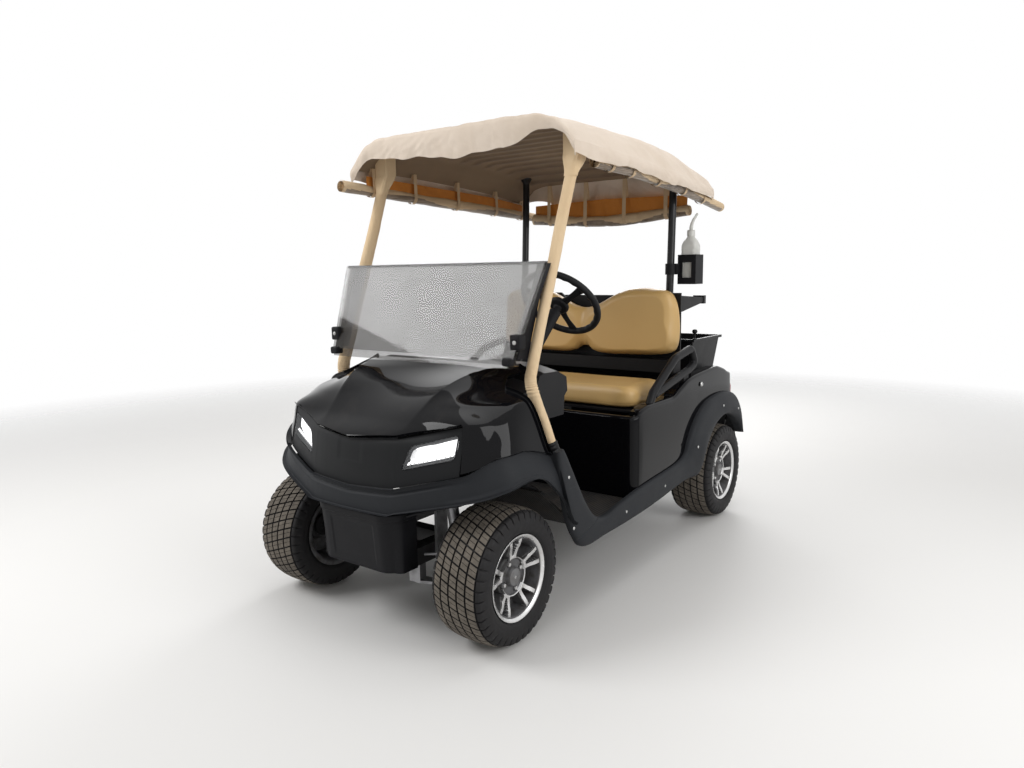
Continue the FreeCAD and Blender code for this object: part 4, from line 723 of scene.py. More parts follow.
def cowl():
    """Hood and sides above the lip and the flare seams. Rows rise evenly from the seam to the hood's top in each
    column; a deck goes back from there to the windshield's foot."""
    shape = Shape()
    hood = np.concatenate([np.linspace(0, 1, 26), np.linspace(1, 2, 30)[1:]])
    low = level_line(LIP, hood, 4.0)
    t = np.linspace(0, 1, 90)[:, None]
    z = low[:, 1][None] + t * (HOOD_TOP - low[:, 1][None])
    for cut in (slice(0, 26), slice(25, None)):
        shape.grid(rolled_edges(on_skin(np.broadcast_to(hood, z.shape)[:, cut], z[:, cut]), 0.003, 0.012, "b"))
    w = np.linspace(0, 1, 84) ** 0.9
    end = lambda z: corner_where(np.interp(z, BACK_EDGE[:, 1], BACK_EDGE[:, 0]) - 3, z, True)
    z = np.full_like(w, 620.0)
    for _ in range(12):
        u = 2 + w * (end(z) - 2)
        z = 0.5 * z + 0.5 * np.interp(skin(u, z)[..., 1], FLARE[:5, 0], FLARE[:5, 1])
    z = np.maximum(z, 590) + 4.0
    under = np.linspace(0, 1, 40)[:-1, None] * (low[-1, 1] - z) + z
    over = low[-1, 1] + t * (HOOD_TOP - low[-1, 1])
    all_z = np.concatenate([under, np.broadcast_to(over, (len(t), len(w)))])
    shape.grid(rolled_edges(on_skin(2 + w * (end(all_z) - 2), all_z), 0.003, 0.010, "br"))
    u = np.concatenate([hood, 2 + w[1:] * 4])
    row = on_skin(u, np.full_like(u, HOOD_TOP))
    back = row.copy()
    back[:, 1] = -0.643
    shape.grid(between(row, back, np.linspace(0, 1, 6)))
    return shape.both_sides()


def bumper():
    """Charcoal bumper and flares, one band from the middle round to the sill. Its front stands out by 9 mm from 24 mm
    under the seam on, which makes a ledge; the flares' lower rim stands out by 6 mm."""
    front = np.concatenate([np.linspace(0, 1, 30), np.linspace(1, 2, 34)[1:]])
    high = level_line(BASE, front, -4.0)
    low_z = np.interp(skin(front, np.full_like(front, 480.0))[:, 0], [0, 185, 205, 415], [447, 447, 455, 502])
    low = np.stack([front, low_z], -1)
    count = 96
    high_side, low_side = side_line(FLARE, -4.0, count), side_line(ARCH, 2.0, count)
    near_start = 1 - smooth_step(0, 0.12, np.linspace(0, 1, count))
    for line, start in ((high_side, high[-1]), (low_side, low[-1])):
        line += (start - line[0]) * near_start[:, None]
        line[:, 0] = np.minimum(line[:, 0], 6)
    high, low = np.concatenate([high, high_side[1:]]), np.concatenate([low, low_side[1:]])
    t = np.concatenate([np.linspace(0, 0.1, 6), np.linspace(0.1, 0.72, 18)[1:], np.linspace(0.72, 1, 16)[1:]])
    u, z = np.moveaxis(between(low, high, t), -1, 0)
    fade = 1 - smooth_step(330, 470, skin(u, z)[..., 0])
    ledge = 9.0 * smooth_step(9, 24, high[None, :, 1] - z) * fade
    lip = 6.0 * (1 - smooth_step(4, 16, z - low[None, :, 1])) * (1 - fade)
    return Shape().grid(rolled_edges(on_skin(u, z, -(ledge + lip)), 0.003, 0.012, "btr")).both_sides()


def lamp_outline(grow):
    """The lamp's four corners rounded and moved square to the outline by grow, as 96 points of (x, z)."""
    o = rounded(LAMP, LAMP_ROUND, 6)
    edge = unit(np.roll(o, -1, 0) - np.roll(o, 1, 0))
    o = o + np.stack([edge[:, 1], -edge[:, 0]], -1) * grow
    return evenly(np.vstack([o, o[:1]]), 96, endpoint=False)


def on_front(xz, sink):
    """Skin points, in metres, at given (x, z) in millimetres."""
    return on_skin(corner_where(xz[..., 0], xz[..., 1]), xz[..., 1], sink)


def fascia():
    """Black panel between lip and bumper, 3 mm inside the skin: a middle with a shallow plate, and on each side rings
    that pass from the lamp's rounded outline to the panel's four edges, with the hole turned in by 27 mm more."""
    shape, sunk = Shape(), 3.0
    middle = np.linspace(0, 1, 24)
    patch = between(level_line(BASE, middle, 0.0), level_line(LIP, middle, -1.0), np.linspace(0, 1, 40))
    u, z = np.moveaxis(patch, -1, 0)
    round_plate = smooth_step(52, 60, skin(u, z)[..., 0]) + smooth_step(36, 42, np.abs(z - 640))
    dent = 1.6 * (1 - np.clip(round_plate, 0, 1))
    shape.grid(rolled_edges(on_skin(u, z, sunk + dent), 0.002, 0.01, "bt"))
    hole = lamp_outline(2.0)
    spoke = (hole - LAMP_MIDDLE) * 3.2
    base = lambda x: np.interp(x, BASE[:, 0], BASE[:, 1])
    lip = lambda x: np.interp(x, LIP[:, 0], LIP[:, 1]) - 1
    near, far, tries = 190, 410, 400
    x, z = np.moveaxis(np.linspace(0, 1, tries + 1)[1:, None, None] * spoke[None] + LAMP_MIDDLE, -1, 0)
    inside = (x > near) & (x < far) & (z > base(x)) & (z < lip(x))
    reach = np.clip(np.cumprod(inside, axis=0).sum(0), 1, tries)
    rim = spoke * (reach / tries)[:, None] + LAMP_MIDDLE
    for corner in np.array([(near, base(near)), (far, base(far)), (far, lip(far)), (near, lip(near))]):
        rim[np.argmin(np.linalg.norm(rim - corner, axis=1))] = corner
    deep = np.stack([on_front(hole, depth) for depth in (30.0, 20.0, 10.0, 5.0)])
    p = np.concatenate([deep, on_front(between(hole, rim, np.linspace(0, 1, 12)), sunk)])
    return shape.grid(p, close_columns=True, flip=True).both_sides()


def lamp_shell():
    """The lamp's black bowl: rings inside the hole that sink 31 mm and close."""
    p = np.stack([on_front(lamp_outline(grow), sink)
                  for grow, sink in ((1, 5), (-3, 5), (-5, 8), (-7, 22), (-12, 30), (-30, 31))])
    return Shape().grid(p, close_columns=True, flip=True).fan(p[-1]).both_sides()


def lamp_cover():
    """Clear lens: the skin inside the lamp's outline, sunk by 2 mm."""
    t = np.linspace(1, 0.02, 14)[:, None, None]
    p = on_front(LAMP_MIDDLE + (lamp_outline(-1)[None] - LAMP_MIDDLE) * t, 2.0)
    return Shape().grid(p, close_columns=True, flip=True).fan(p[-1]).both_sides()


def lamp_lights():
    """Lit parts behind the lens: a wide plate, two square projectors before it, a row of eleven bright dots with dim
    ones between them below, and a small patch beside. mark is how strongly each glows."""
    shape = Shape()

    def pillow(s0, s1, t0, t1, sink, glow, round_by):
        """A superellipse that bulges by 4 mm: rings between shares s0 to s1 of the lamp's width, t0 to t1 of its
        height."""
        ring = np.stack(soft_square(circle(28), 2.0 / (2.0 + 4.0 * (1 - round_by))), -1)
        r = np.linspace(1, 0.0, 7)[:, None, None]
        k = ring[None] * r
        s = ((s0 + s1) / 2 + k[..., 0] * (s1 - s0) / 2)[..., None]
        t = ((t0 + t1) / 2 + k[..., 1] * (t1 - t0) / 2)[..., None]
        flat = (LAMP[0] + (LAMP[1] - LAMP[0]) * s) * (1 - t) + (LAMP[3] + (LAMP[2] - LAMP[3]) * s) * t
        depth = np.broadcast_to(sink - 4.0 * (1 - r[..., 0] ** 2), k.shape[:2])
        shape.grid(on_front(flat, depth), close_columns=True, flip=True, mark=glow)

    pillow(0.03, 0.975, 0.16, 0.955, 25, 0.75, 0.3)
    pillow(0.16, 0.50, 0.36, 0.88, 18, 1.0, 0.5)
    pillow(0.55, 0.93, 0.36, 0.88, 18, 1.0, 0.5)
    for k in range(11):
        s = 0.08 + 0.084 * k
        pillow(s - 0.026, s + 0.026, 0.17, 0.30, 14, 1.0, 0.9)
        pillow(s + 0.030, s + 0.054, 0.13, 0.25, 13, 0.25, 0.9)
    pillow(0.04, 0.16, 0.42, 0.80, 20, 0.45, 0.4)
    return shape.both_sides()


build("cowl_skin", cowl(), paint, replaces=["front_cowl"])
build("bumper_skin", bumper(), charcoal, replaces=["front_bumper"])
build("fascia_skin", fascia(), fascia_black, replaces=["front_fascia"])
build("lamp_shells", lamp_shell(), trim_black, replaces=["headlamp_left", "headlamp_right"])
build("lamp_lights", lamp_lights(), glow)
build("lamp_covers", lamp_cover(), lens)


# wheels, in millimetres about X at the origin
PITCHES, GROOVE, SLANT, TREAD_EDGE = 40, 6.5, 0.0016, 88
NUT_CIRCLE, CAP = 48.0, 34.0


def tyre_shape():
    """A tyre about X at the origin, outer side towards +x. The profile is a spline of (x, radius); on the tread
    each pitch has nine samples set on the edges of its grooves, so the blocks are crisp. Rows slide round by an
    angle that grows with |x|, which slants the grooves. mark is told by tyre_rubber."""
    shape = Shape()
    spots = np.array([0.0, 0.10, 0.135, 0.30, 0.49, 0.515, 0.54, 0.75, 0.965])
    lows = np.array([1.0, 1.0, 0.0, 0.0, 0.0, 0.42, 0.0, 0.0, 0.0])
    angle = (np.arange(PITCHES)[:, None] + spots[None]).ravel() * (2 * np.pi / PITCHES)
    cross = np.tile(lows, PITCHES)
    edges = [-82.5, -49.5, -16.5, 16.5, 49.5, 82.5]
    across, run = [], []
    for a, b in zip(edges[:-1], edges[1:]):
        across += [a + 0.2, a + 2.6, a + 3.4, (a * 2 + b) / 3, (a + 2 * b) / 3, b - 3.4, b - 2.6]
        run += [1.0, 1.0, 0.0, 0.0, 0.0, 0.0, 1.0]
    across, run = np.array(across + [82.3]), np.array(run + [1.0])
    depth = np.maximum(run[:, None], cross[None]) * GROOVE
    radius = (229.6 - 9.5 * (np.abs(across) / TREAD_EDGE) ** 3.2)[:, None] - depth
    turn = angle[None] + SLANT * across[:, None]
    side = spline([(84.5, 219.8), (91.5, 217.5), (96, 213), (98.5, 204), (100.5, 192), (102.0, 178), (101.5, 166),
                   (98.5, 156), (94, 150.5), (90.5, 147), (87.5, 144.6), (85.6, 140), (85, 133)], 30)
    shoulder = smooth_step(190, 206, side[:, 1]) * (side[:, 1] < 221)
    ring = (np.sin((side[:, 1] - 150) / 9.0 * np.pi) ** 2 * window(150, 156, 168, 176, side[:, 1]))[:, None]
    slots = shoulder[:, None] * np.tile(np.array([1.0, 1.0, 0.25, 0.0, 0.0, 0.0, 0.0, 0.0, 0.25]), PITCHES)[None]
    out = side[:, 0][:, None] - 5.0 * slots + 0.9 * ring - 0.9 * (ring > 0)
    rad = side[:, 1][:, None] - 3.5 * slots

    def place(x, r, t):
        """Points in metres at x, radius and angle."""
        return np.stack([x + 0 * t, r * np.cos(t), r * np.sin(t)], -1) * MILLIMETRES

    inner, outer = (place(sign * out, rad, angle[None] + sign * SLANT * TREAD_EDGE) for sign in (-1, 1))
    grid = np.concatenate([inner[::-1], place(across[:, None], radius, turn), outer])
    side_mark = 0.5 + 0.22 * (shoulder[:, None] - slots)
    mark = np.concatenate([side_mark[::-1], 1 - np.minimum(depth / 3.0, 1.0), side_mark])
    shape.grid(grid, close_columns=True, mark=mark.ravel())
    lining = np.array([(85, 133), (74, 131), (78, 150), (86, 180), (72, 208), (0, 213)])
    lining = np.concatenate([lining, lining[-2::-1] * [-1, 1]])
    return add_turned(shape, lining * MILLIMETRES, "x", 96)


def spoke_field(y, z):
    """Height of the rim's face from 0 in the pockets to 1 on the arms, how bright it is there, and where the hub is.
    Five pairs of arms run from (56, +-7) to (136, +-30) in their own fifth; a point's distance to the nearer arm
    gives a smooth wall."""
    r = np.hypot(y, z)
    fifth = 2 * np.pi / 5
    t = np.mod(np.arctan2(z, y) + fifth / 2, fifth) - fifth / 2
    u, v = r * np.cos(t), np.abs(r * np.sin(t))
    a, b = np.array([56.0, 7.0]), np.array([136.0, 30.0])
    along = np.clip(((u - a[0]) * (b[0] - a[0]) + (v - a[1]) * (b[1] - a[1])) / ((b - a) @ (b - a)), 0, 1)
    gap = np.hypot(u - a[0] - along * (b[0] - a[0]), v - a[1] - along * (b[1] - a[1]))
    arm = 1 - smooth_step(6.2 + 1.2 * along, 9.0 + 2.0 * along, gap)
    web = (1 - smooth_step(72, 80, u)) * (1 - smooth_step(12, 17, v))
    ring, hub = smooth_step(125, 129, r), 1 - smooth_step(65, 69, r)
    arm = np.maximum(arm, web)
    height = np.maximum(np.maximum(arm, ring), hub)
    return height, np.where(height > 0.8, np.maximum(arm, ring), 0.0), hub


def rim_shape():
    """A rim about X, outer side towards +x: a polar height field for the face, and a turned barrel behind it."""
    shape = Shape()
    radius = np.concatenate([np.linspace(2, 32, 8), [33.2, CAP], np.linspace(36, 66, 16), np.linspace(68, 122, 34),
                             np.linspace(124, 131, 8)])
    r, a = np.meshgrid(radius, circle(480), indexing="ij")
    y, z = r * np.cos(a), r * np.sin(a)
    height, bright, hub = spoke_field(y, z)
    face = 70.0 + 14.0 * smooth_step(70, 128, r)
    floor_x = 22.0 + 10.0 * smooth_step(60, 126, r)
    x = floor_x + (face - floor_x) * height
    dish = (1 - smooth_step(58, 63, r)) * 9.0
    cap = (1 - smooth_step(31.0, CAP, r)) * (12.0 + 4.0 * np.sqrt(np.clip(1 - (r / CAP) ** 2, 0, 1)))
    nut_turn = np.mod(a + np.pi / 4, np.pi / 2) - np.pi / 4
    nut = np.hypot(r * np.cos(nut_turn) - NUT_CIRCLE, r * np.sin(nut_turn))
    well = 1 - smooth_step(9.5, 11.0, nut)
    stud = (1 - smooth_step(6.5, 7.4, nut)) * 11.0
    x = x - dish + cap - well * 5.0 + stud
    bright = np.where(r < 60, 0.30 + 0.28 * (cap > 12.5) + 0.7 * (stud > 5), np.maximum(bright, hub * (r > 60)))
    p = np.stack([x, y, z], -1) * MILLIMETRES
    shape.grid(p, close_columns=True, mark=np.clip(bright, 0, 1).ravel()).fan(p[0], flip=True, mark=1.0)
    lip = spline([(84.2, 131), (87.5, 132.5), (90.5, 136), (92.6, 140), (93.6, 143), (92.8, 144), (91.0, 143.6),
                  (89.0, 142.0), (87.0, 137.0), (85.5, 129.0), (82, 127)], 40)
    barrel = np.concatenate([lip, [(30, 122), (0, 118), (-60, 121), (-85, 128), (-89, 136), (-91, 143), (-93.5, 144),
                                   (-94, 141), (-91, 128), (-84, 121), (-55, 115), (0, 112), (12, 108), (14, 60),
                                   (8, 56), (8, 22)]])
    mark = np.where(np.arange(len(barrel)) < 24, 1.0, 0.1)
    return add_turned(shape, barrel[::-1] * MILLIMETRES, "x", 144, mark=np.repeat(mark[::-1], 144))


for name, body, end, x, start in (
        ("front_left", "wheel_fl", FRONT_AXLE, 0.438, 0.35), ("front_right", "wheel_fr", FRONT_AXLE, -0.438, 1.1),
        ("rear_left", "wheel_rl", REAR_AXLE, 0.489, 0.9), ("rear_right", "wheel_rr", REAR_AXLE, -0.489, 0.2)):
    turn = [[1, 0, 0], [0, math.cos(start), -math.sin(start)], [0, math.sin(start), math.cos(start)]]
    for kind, make, finish, slot in (("tyre", tyre_shape, rubber, "tyre"), ("rim", rim_shape, alloy, "alloy")):
        shape = make().turned(turn)
        if x < 0:
            shape.other_side()
        build("%s_skin_%s" % (kind, name), shape.moved(x, end, HUB), finish, body, ["%s_%s" % (kind, name)])


# canopy
CREST_Y = np.array([-0.575, -0.2725, 0.030, 0.3325, 0.635])
EDGE_Z = np.array([1.6457, 1.6407, 1.6257, 1.6057, 1.5807])
CREST_Z = np.array([1.7507, 1.7607, 1.7607, 1.7457, 1.6757])
CROWN_X = np.array([0.0, 0.200, 0.367, 0.443, 0.502, 0.540])
CROWN_SHARE = np.array([1.0, 1.0, 0.98, 0.82, 0.45, 0.0])


def roof_z(x, y):
    """The roof's top: the side edge's height plus the crown's share of the rise to the crest."""
    edge, crest = table_curve(CREST_Y, EDGE_Z, y), table_curve(CREST_Y, CREST_Z, y)
    return edge + (crest - edge) * table_curve(CROWN_X, CROWN_SHARE, np.abs(x))


def waves(x, y, count, low, high, seed):
    """The mean of sines of random direction, phase and length from low to high, as low creases in cloth."""
    g = np.random.default_rng(seed)
    total = 0.0
    for _ in range(count):
        k = 2 * np.pi / g.uniform(low, high)
        turn, phase = g.uniform(0, np.pi), g.uniform(0, 6.28)
        ahead, across = x * np.cos(turn) + y * np.sin(turn), y * np.cos(turn) - x * np.sin(turn)
        total = total + np.sin(k * ahead + phase + 1.5 * np.sin(k * 0.3 * across))
    return total / count


def cover_grid(count_along, count_across):
    """The fabric cover as a grid. Across each station it goes from the left hem over the crown to the right hem; at
    the front and rear 11% of the stations turn down as hems. Gives x, y, z, the side drop, which is 0 on top and 1 at
    a hem, and the same for the ends. The near hem bulges by 10 mm where the curtain is tucked in."""
    across = np.linspace(-1, 1, count_across)
    along = np.linspace(0, 1, count_along)
    t, top_share, end_share = np.abs(across), 0.86, 0.11
    front = np.clip((end_share - along) / end_share, 0, 1)
    rear = np.clip((along - 1 + end_share) / end_share, 0, 1)
    y = -0.5755 + (0.6365 + 0.5755) * np.clip((along - end_share) / (1 - 2 * end_share), 0, 1)
    x_run = np.interp(np.clip(t / top_share, 0, 1), [0, 0.36, 0.66, 0.8, 0.92, 1.0],
                      [0, 0.20, 0.375, 0.450, 0.508, 0.5425])
    drop = np.clip((t - top_share) / (1 - top_share), 0, 1)
    X, Y = np.meshgrid(np.sign(across) * x_run, y)
    top = roof_z(np.minimum(np.abs(X), 0.540), Y) + 0.0042
    D = np.broadcast_to(drop, X.shape)
    wander = waves(Y, 0 * Y, 5, 0.07, 0.28, 3) * 0.007 + waves(Y, 0 * Y, 3, 0.3, 0.6, 5) * 0.007
    hem = table_curve([-0.58, -0.2, 0.2, 0.64], [0.046, 0.050, 0.052, 0.046], Y) + wander
    fall_front = np.interp(X, [-0.5, -0.40, 0.0, 0.25, 0.40, 0.465, 0.5],
                           [0.055, 0.075, 0.112, 0.104, 0.050, 0.036, 0.032])
    fall_rear = np.interp(np.abs(X), [0, 0.3, 0.45, 0.5], [0.135, 0.12, 0.07, 0.045])
    fall_front = fall_front + 0.004 * np.sin(X * 21 + 1.0) + 0.003 * np.sin(X * 47)
    F, R = front[:, None] + 0 * X, rear[:, None] + 0 * X
    Z = top - D * hem - (F ** 1.25 * fall_front + R ** 1.25 * fall_rear) * (1 - D) - (F + R) * 0.011 * D
    bow = 0.006 * np.sin(np.pi * np.clip(F + R, 0, 1)) * (1 - D)
    Y = Y - (F > 0) * (0.002 + bow) * np.minimum(F * 6, 1) + (R > 0) * (0.002 + bow) * np.minimum(R * 6, 1)
    X = X + np.sign(X) * 0.0015 * D
    over = window(-0.46, -0.36, 0.56, 0.66, Y) * (X > 0)
    X = X + over * (0.010 * np.sin(np.pi * np.minimum(D / 1.15, 1)) + 0.003 * D)
    return X, Y, Z, D, F + R


def cover():
    """The cover with its creases: waves along the normal that are strongest near hems and corners, and gathers
    square to the hem that grow towards it."""
    X, Y, Z, D, ends = cover_grid(330, 280)
    corner = np.exp(-((np.abs(X) - 0.50) / 0.10) ** 2 - ((np.abs(Y - 0.03) - 0.56) / 0.14) ** 2)
    near_hem = np.clip(smooth_step(0.36, 0.53, np.abs(X)) + smooth_step(0.42, 0.60, np.abs(Y - 0.03)), 0, 1)
    U, V = X + 0.9 * Z * np.sign(X), Y + 1.1 * Z * np.sign(Y)
    broad = waves(U, V, 9, 0.11, 0.36, 11) * 0.0052
    tight = waves(U, V, 10, 0.035, 0.10, 12) * 0.0020
    hang = np.maximum(D, ends)
    gather = waves(X + Y, X - Y, 6, 0.045, 0.12, 13) * 0.0035 * hang ** 1.5
    pull = np.sin((np.abs(X) * 1.3 - Y * np.sign(Y)) * 62 + 2 * broad / 0.005) * corner * 0.0016
    lift = broad * (0.35 + 0.65 * near_hem) + tight * (0.2 + 0.8 * near_hem) + gather + pull
    p = np.stack([X, Y, Z], -1)
    n = unit(np.cross(np.gradient(p, axis=1), np.gradient(p, axis=0)))
    n = np.where(np.sum(n * (p - [0, 0.03, 1.45]), -1, keepdims=True) < 0, -n, n)
    return Shape().grid(p + n * (lift + 0.0015)[..., None])


def headliner():
    """The ribbed underside: the roof's own height less 16.5 mm, with cross ribs 10 mm deep every 90.3 mm and a rim
    12 mm lower along its sides. mark is 1 on a rib."""
    X, Y = np.meshgrid(np.linspace(-0.522, 0.522, 140), np.linspace(-0.556, 0.618, 260))
    phase = np.mod(Y + 0.556, 0.0903) / 0.0903
    rib = window(0.0, 0.1, 0.26, 0.36, phase) * (1 - smooth_step(0.40, 0.45, np.abs(X)))
    step = smooth_step(0.44, 0.47, np.abs(X)) * 0.012
    Z = roof_z(X, Y) - 0.0165 - rib * 0.010 - step
    return Shape().grid(np.stack([X, Y, Z], -1), flip=True, mark=rib.ravel())


WRAPS, LAYER, SHEET = 4.5, 0.0039, 0.0008


def roll(path, radius, seed):
    """A curtain rolled up: one sheet whose section is a spiral, its radius less by one layer for each turn, carried
    along the path with dents, and pinched where the straps are. mark is 1 on its beige bindings."""
    p = spline(path, 130)
    g = tube_grid(p, 1.0, 4)
    first, second = g[:, 0] - p, g[:, 1] - p
    turn = np.linspace(0, WRAPS, int(WRAPS * 34))[None]
    length = np.linspace(0, 1, len(p))[:, None]
    a = turn * 2 * np.pi + 0.25 * np.sin(length * 17 + seed)
    dents = waves(length * 1.4 + 0 * a, a * 0.012, 7, 0.06, 0.3, seed) * 0.9
    pinch = sum(bell(length, c, 0.012) for c in (0.12, 0.3, 0.5, 0.7, 0.86))
    r = (radius - SHEET - LAYER * turn + dents * 0.0016) * (1 - 0.07 * pinch) * (1 + 0.05 * np.cos(2 * a + length * 9))
    r = np.maximum(r, 0.003)[..., None]
    q = p[:, None] + np.cos(a)[..., None] * first[:, None] * r + np.sin(a)[..., None] * second[:, None] * r
    stripe = (np.mod(turn + 0.06 * np.sin(length * 11 + seed), 1.0) < 0.30) & (turn < 1.1)
    band = stripe | (turn < 0.06) | (np.abs(length - 0.5) > 0.485)
    return Shape().grid(q, mark=band.astype(float).ravel())


def roll_area(path, radius):
    """Width and length of the sheet that such a roll holds: 2 pi times the mean radius times the turns."""
    return 2 * math.pi * WRAPS * (radius - SHEET - LAYER * WRAPS / 2), float(steps_of(spline(path, 130)).sum())


def sleeve():
    """A fabric sleeve round a front strut: a tube of radius 21.5 mm with creases, a seam along it, small folds where
    the strut bends and a thicker hem at each end. Its radius stays over 18 mm, clear of the strut."""
    path = spline([(0.5175, -0.6836, 0.600), (0.4904, -0.7126, 0.725), (0.4690, -0.7345, 0.822),
                   (0.4638, -0.7365, 0.862), (0.4633, -0.7240, 0.900), (0.4651, -0.6438, 1.117),
                   (0.4669, -0.5556, 1.355), (0.4687, -0.4700, 1.588)], 330)
    spoke = tube_grid(path, 1.0, 56) - path[:, None]
    a = circle(56)[None]
    run = np.linspace(0, 1, 330)[:, None]
    fold = waves(run, np.cos(a) * 0.06, 10, 0.045, 0.2, 21) * 0.0042
    fold = fold + waves(run, np.sin(a) * 0.05, 8, 0.02, 0.05, 22) * 0.0013
    bend = bell(run, 0.30, 0.05) * np.sin(run * 260 + 2 * np.sin(a)) * 0.0014
    seam = bell(np.mod(a - 2.4 + np.pi, 2 * np.pi), np.pi, 0.07) * 0.0022
    hems = 0.0012 * bell(run, 0.008, 0.01) + 0.0012 * bell(run, 0.992, 0.008)
    r = np.maximum(0.0215 + fold * 0.55 + bend + seam + hems, 0.0182) * (1 + 0.10 * np.cos(2 * a + 3 * run))
    return Shape().grid(path[:, None] + spoke * np.maximum(r, 0.0180)[..., None], close_columns=True)


def two_sides(make):
    """A piece on the left and its mirror image on the right, each with the name of its side."""
    return ("left", make()), ("right", make().other_side())


FAR_ROLL = np.array([(-0.517, -0.665, 1.572), (-0.518, -0.2, 1.549), (-0.516, 0.3, 1.530), (-0.517, 0.790, 1.510)])
NEAR_ROLL = np.array([(0.510, -0.395, 1.602), (0.512, -0.1, 1.592), (0.513, 0.3, 1.566), (0.517, 0.790, 1.511)])
REAR_ROLL = np.array([(-0.440, 0.615, 1.492), (0.0, 0.612, 1.462), (0.440, 0.615, 1.492)])
cover_item = build("cover_cloth", cover(), cream, replaces=["canopy_cover"])
build("headliner", headliner(), roof_liner, replaces=["canopy_shell"], wall=0.003)
ROLLS = {"left": (NEAR_ROLL, 0.0245, 31, ["curtain_rolls"]), "right": (FAR_ROLL, 0.0245, 37, []),
         "rear": (REAR_ROLL, 0.0285, 41, [])}
for name, (line, radius, seed, hides) in ROLLS.items():
    item = build("curtain_roll_" + name, roll(line, radius, seed), curtain, replaces=hides, weld=False)
    roll_area(line, radius)
for name, shape in two_sides(sleeve):
    hides = ["strut_sleeves"] if name == "left" else []
    item = build("sleeve_cloth_" + name, shape, sleeve_cloth, replaces=hides)


# seat
def calmed(values, links, rounds):
    """Each round moves a point's value 0.6 of the way to the mean of its neighbours' values."""
    count = len(values)
    number = np.maximum(np.bincount(links.ravel(), minlength=count), 1)[:, None]
    for _ in range(rounds):
        total = np.stack([np.bincount(links[:, 0], values[links[:, 1], k], count)
                          + np.bincount(links[:, 1], values[links[:, 0], k], count) for k in range(3)], -1)
        values = values + 0.6 * (total / number - values)
    return values


def swell(item, cap, hold):
    """Remeshes the piece in voxels, holds the points that hold() names, lets cloth pressure fill it for 20 frames,
    caps how far any point goes and calms the result. Gives the points, and the finish that the new mesh has lost."""
    frames = 20
    m = item.modifiers.new("remesh", "REMESH")
    m.mode, m.voxel_size = "VOXEL", 0.0062
    graph = bpy.context.evaluated_depsgraph_get()
    mesh = bpy.data.meshes.new_from_object(item.evaluated_get(graph))
    finish = item.data.materials[0]
    item.modifiers.clear()
    item.data = mesh
    count = len(mesh.vertices)
    start = np.empty(count * 3)
    mesh.vertices.foreach_get("co", start)
    start = start.reshape(-1, 3)
    links = np.empty(len(mesh.edges) * 2, dtype=np.int64)
    mesh.edges.foreach_get("vertices", links)
    links = links.reshape(-1, 2)
    held = item.vertex_groups.new(name="held")
    held.add(np.nonzero(hold(start))[0].tolist(), 1.0, "REPLACE")
    cloth_mod = item.modifiers.new("cloth", "CLOTH")
    s = cloth_mod.settings
    s.quality, s.mass = 5, 0.3
    s.tension_stiffness = s.compression_stiffness = 12
    s.shear_stiffness, s.bending_stiffness = 4, 1.5
    s.use_pressure, s.uniform_pressure_force = True, 4.0
    s.effector_weights.gravity = 0
    s.vertex_group_mass = "held"
    cloth_mod.collision_settings.use_collision = False
    cloth_mod.point_cache.frame_start, cloth_mod.point_cache.frame_end = 1, frames
    for frame in range(1, frames + 1):
        scene.frame_set(frame)
    graph = bpy.context.evaluated_depsgraph_get()
    done = bpy.data.meshes.new_from_object(item.evaluated_get(graph))
    end = np.empty(count * 3)
    done.vertices.foreach_get("co", end)
    item.modifiers.clear()
    scene.frame_set(1)
    bpy.data.meshes.remove(done)
    move = end.reshape(-1, 3) - start
    size = np.linalg.norm(move, axis=1, keepdims=True)
    start = start + calmed(move * np.minimum(1.0, cap / np.maximum(size, 1e-9)), links, 36)
    item.vertex_groups.clear()
    return calmed(start, links, 3), finish


def finish_cushion(item, points, mark, finish):
    """Writes the points and their mark back, and adds one subdivision."""
    mesh = item.data
    mesh.vertices.foreach_set("co", points.astype(np.float32).ravel())
    if "mark" in mesh.attributes:
        mesh.attributes.remove(mesh.attributes["mark"])
    a = mesh.attributes.new("mark", "FLOAT", "POINT")
    a.data.foreach_set("value", mark.astype(np.float32))
    mesh.materials.clear()
    mesh.materials.append(finish)
    mesh.update()
    mesh.shade_smooth()
    m = item.modifiers.new("smooth", "SUBSURF")
    m.levels = m.render_levels = 1


def raw_object(name, shape, finish):
    """An object without body or modifiers, to be worked on."""
    item = build(name, shape, finish, body=None)
    item.modifiers.clear()
    return item


def line_gap(points, line):
    """Distance from plane points to a plane polyline: the least distance to any of its segments."""
    a, b = line[:-1], line[1:]
    d = b - a
    t = np.clip(((points[:, None] - a[None]) * d[None]).sum(-1) / np.maximum((d * d).sum(-1), 1e-12)[None], 0, 1)
    return np.linalg.norm(points[:, None] - a[None] - t[..., None] * d[None], axis=-1).min(1)


BACK_LOBE = np.array([(0.020, 0.852), (0.052, 0.828), (0.115, 0.816), (0.250, 0.812), (0.380, 0.815), (0.452, 0.830),
                      (0.486, 0.866), (0.492, 0.930), (0.488, 1.010), (0.478, 1.072), (0.452, 1.116), (0.405, 1.137),
                      (0.330, 1.142), (0.262, 1.138), (0.196, 1.122), (0.130, 1.092), (0.066, 1.058), (0.020, 1.044)])


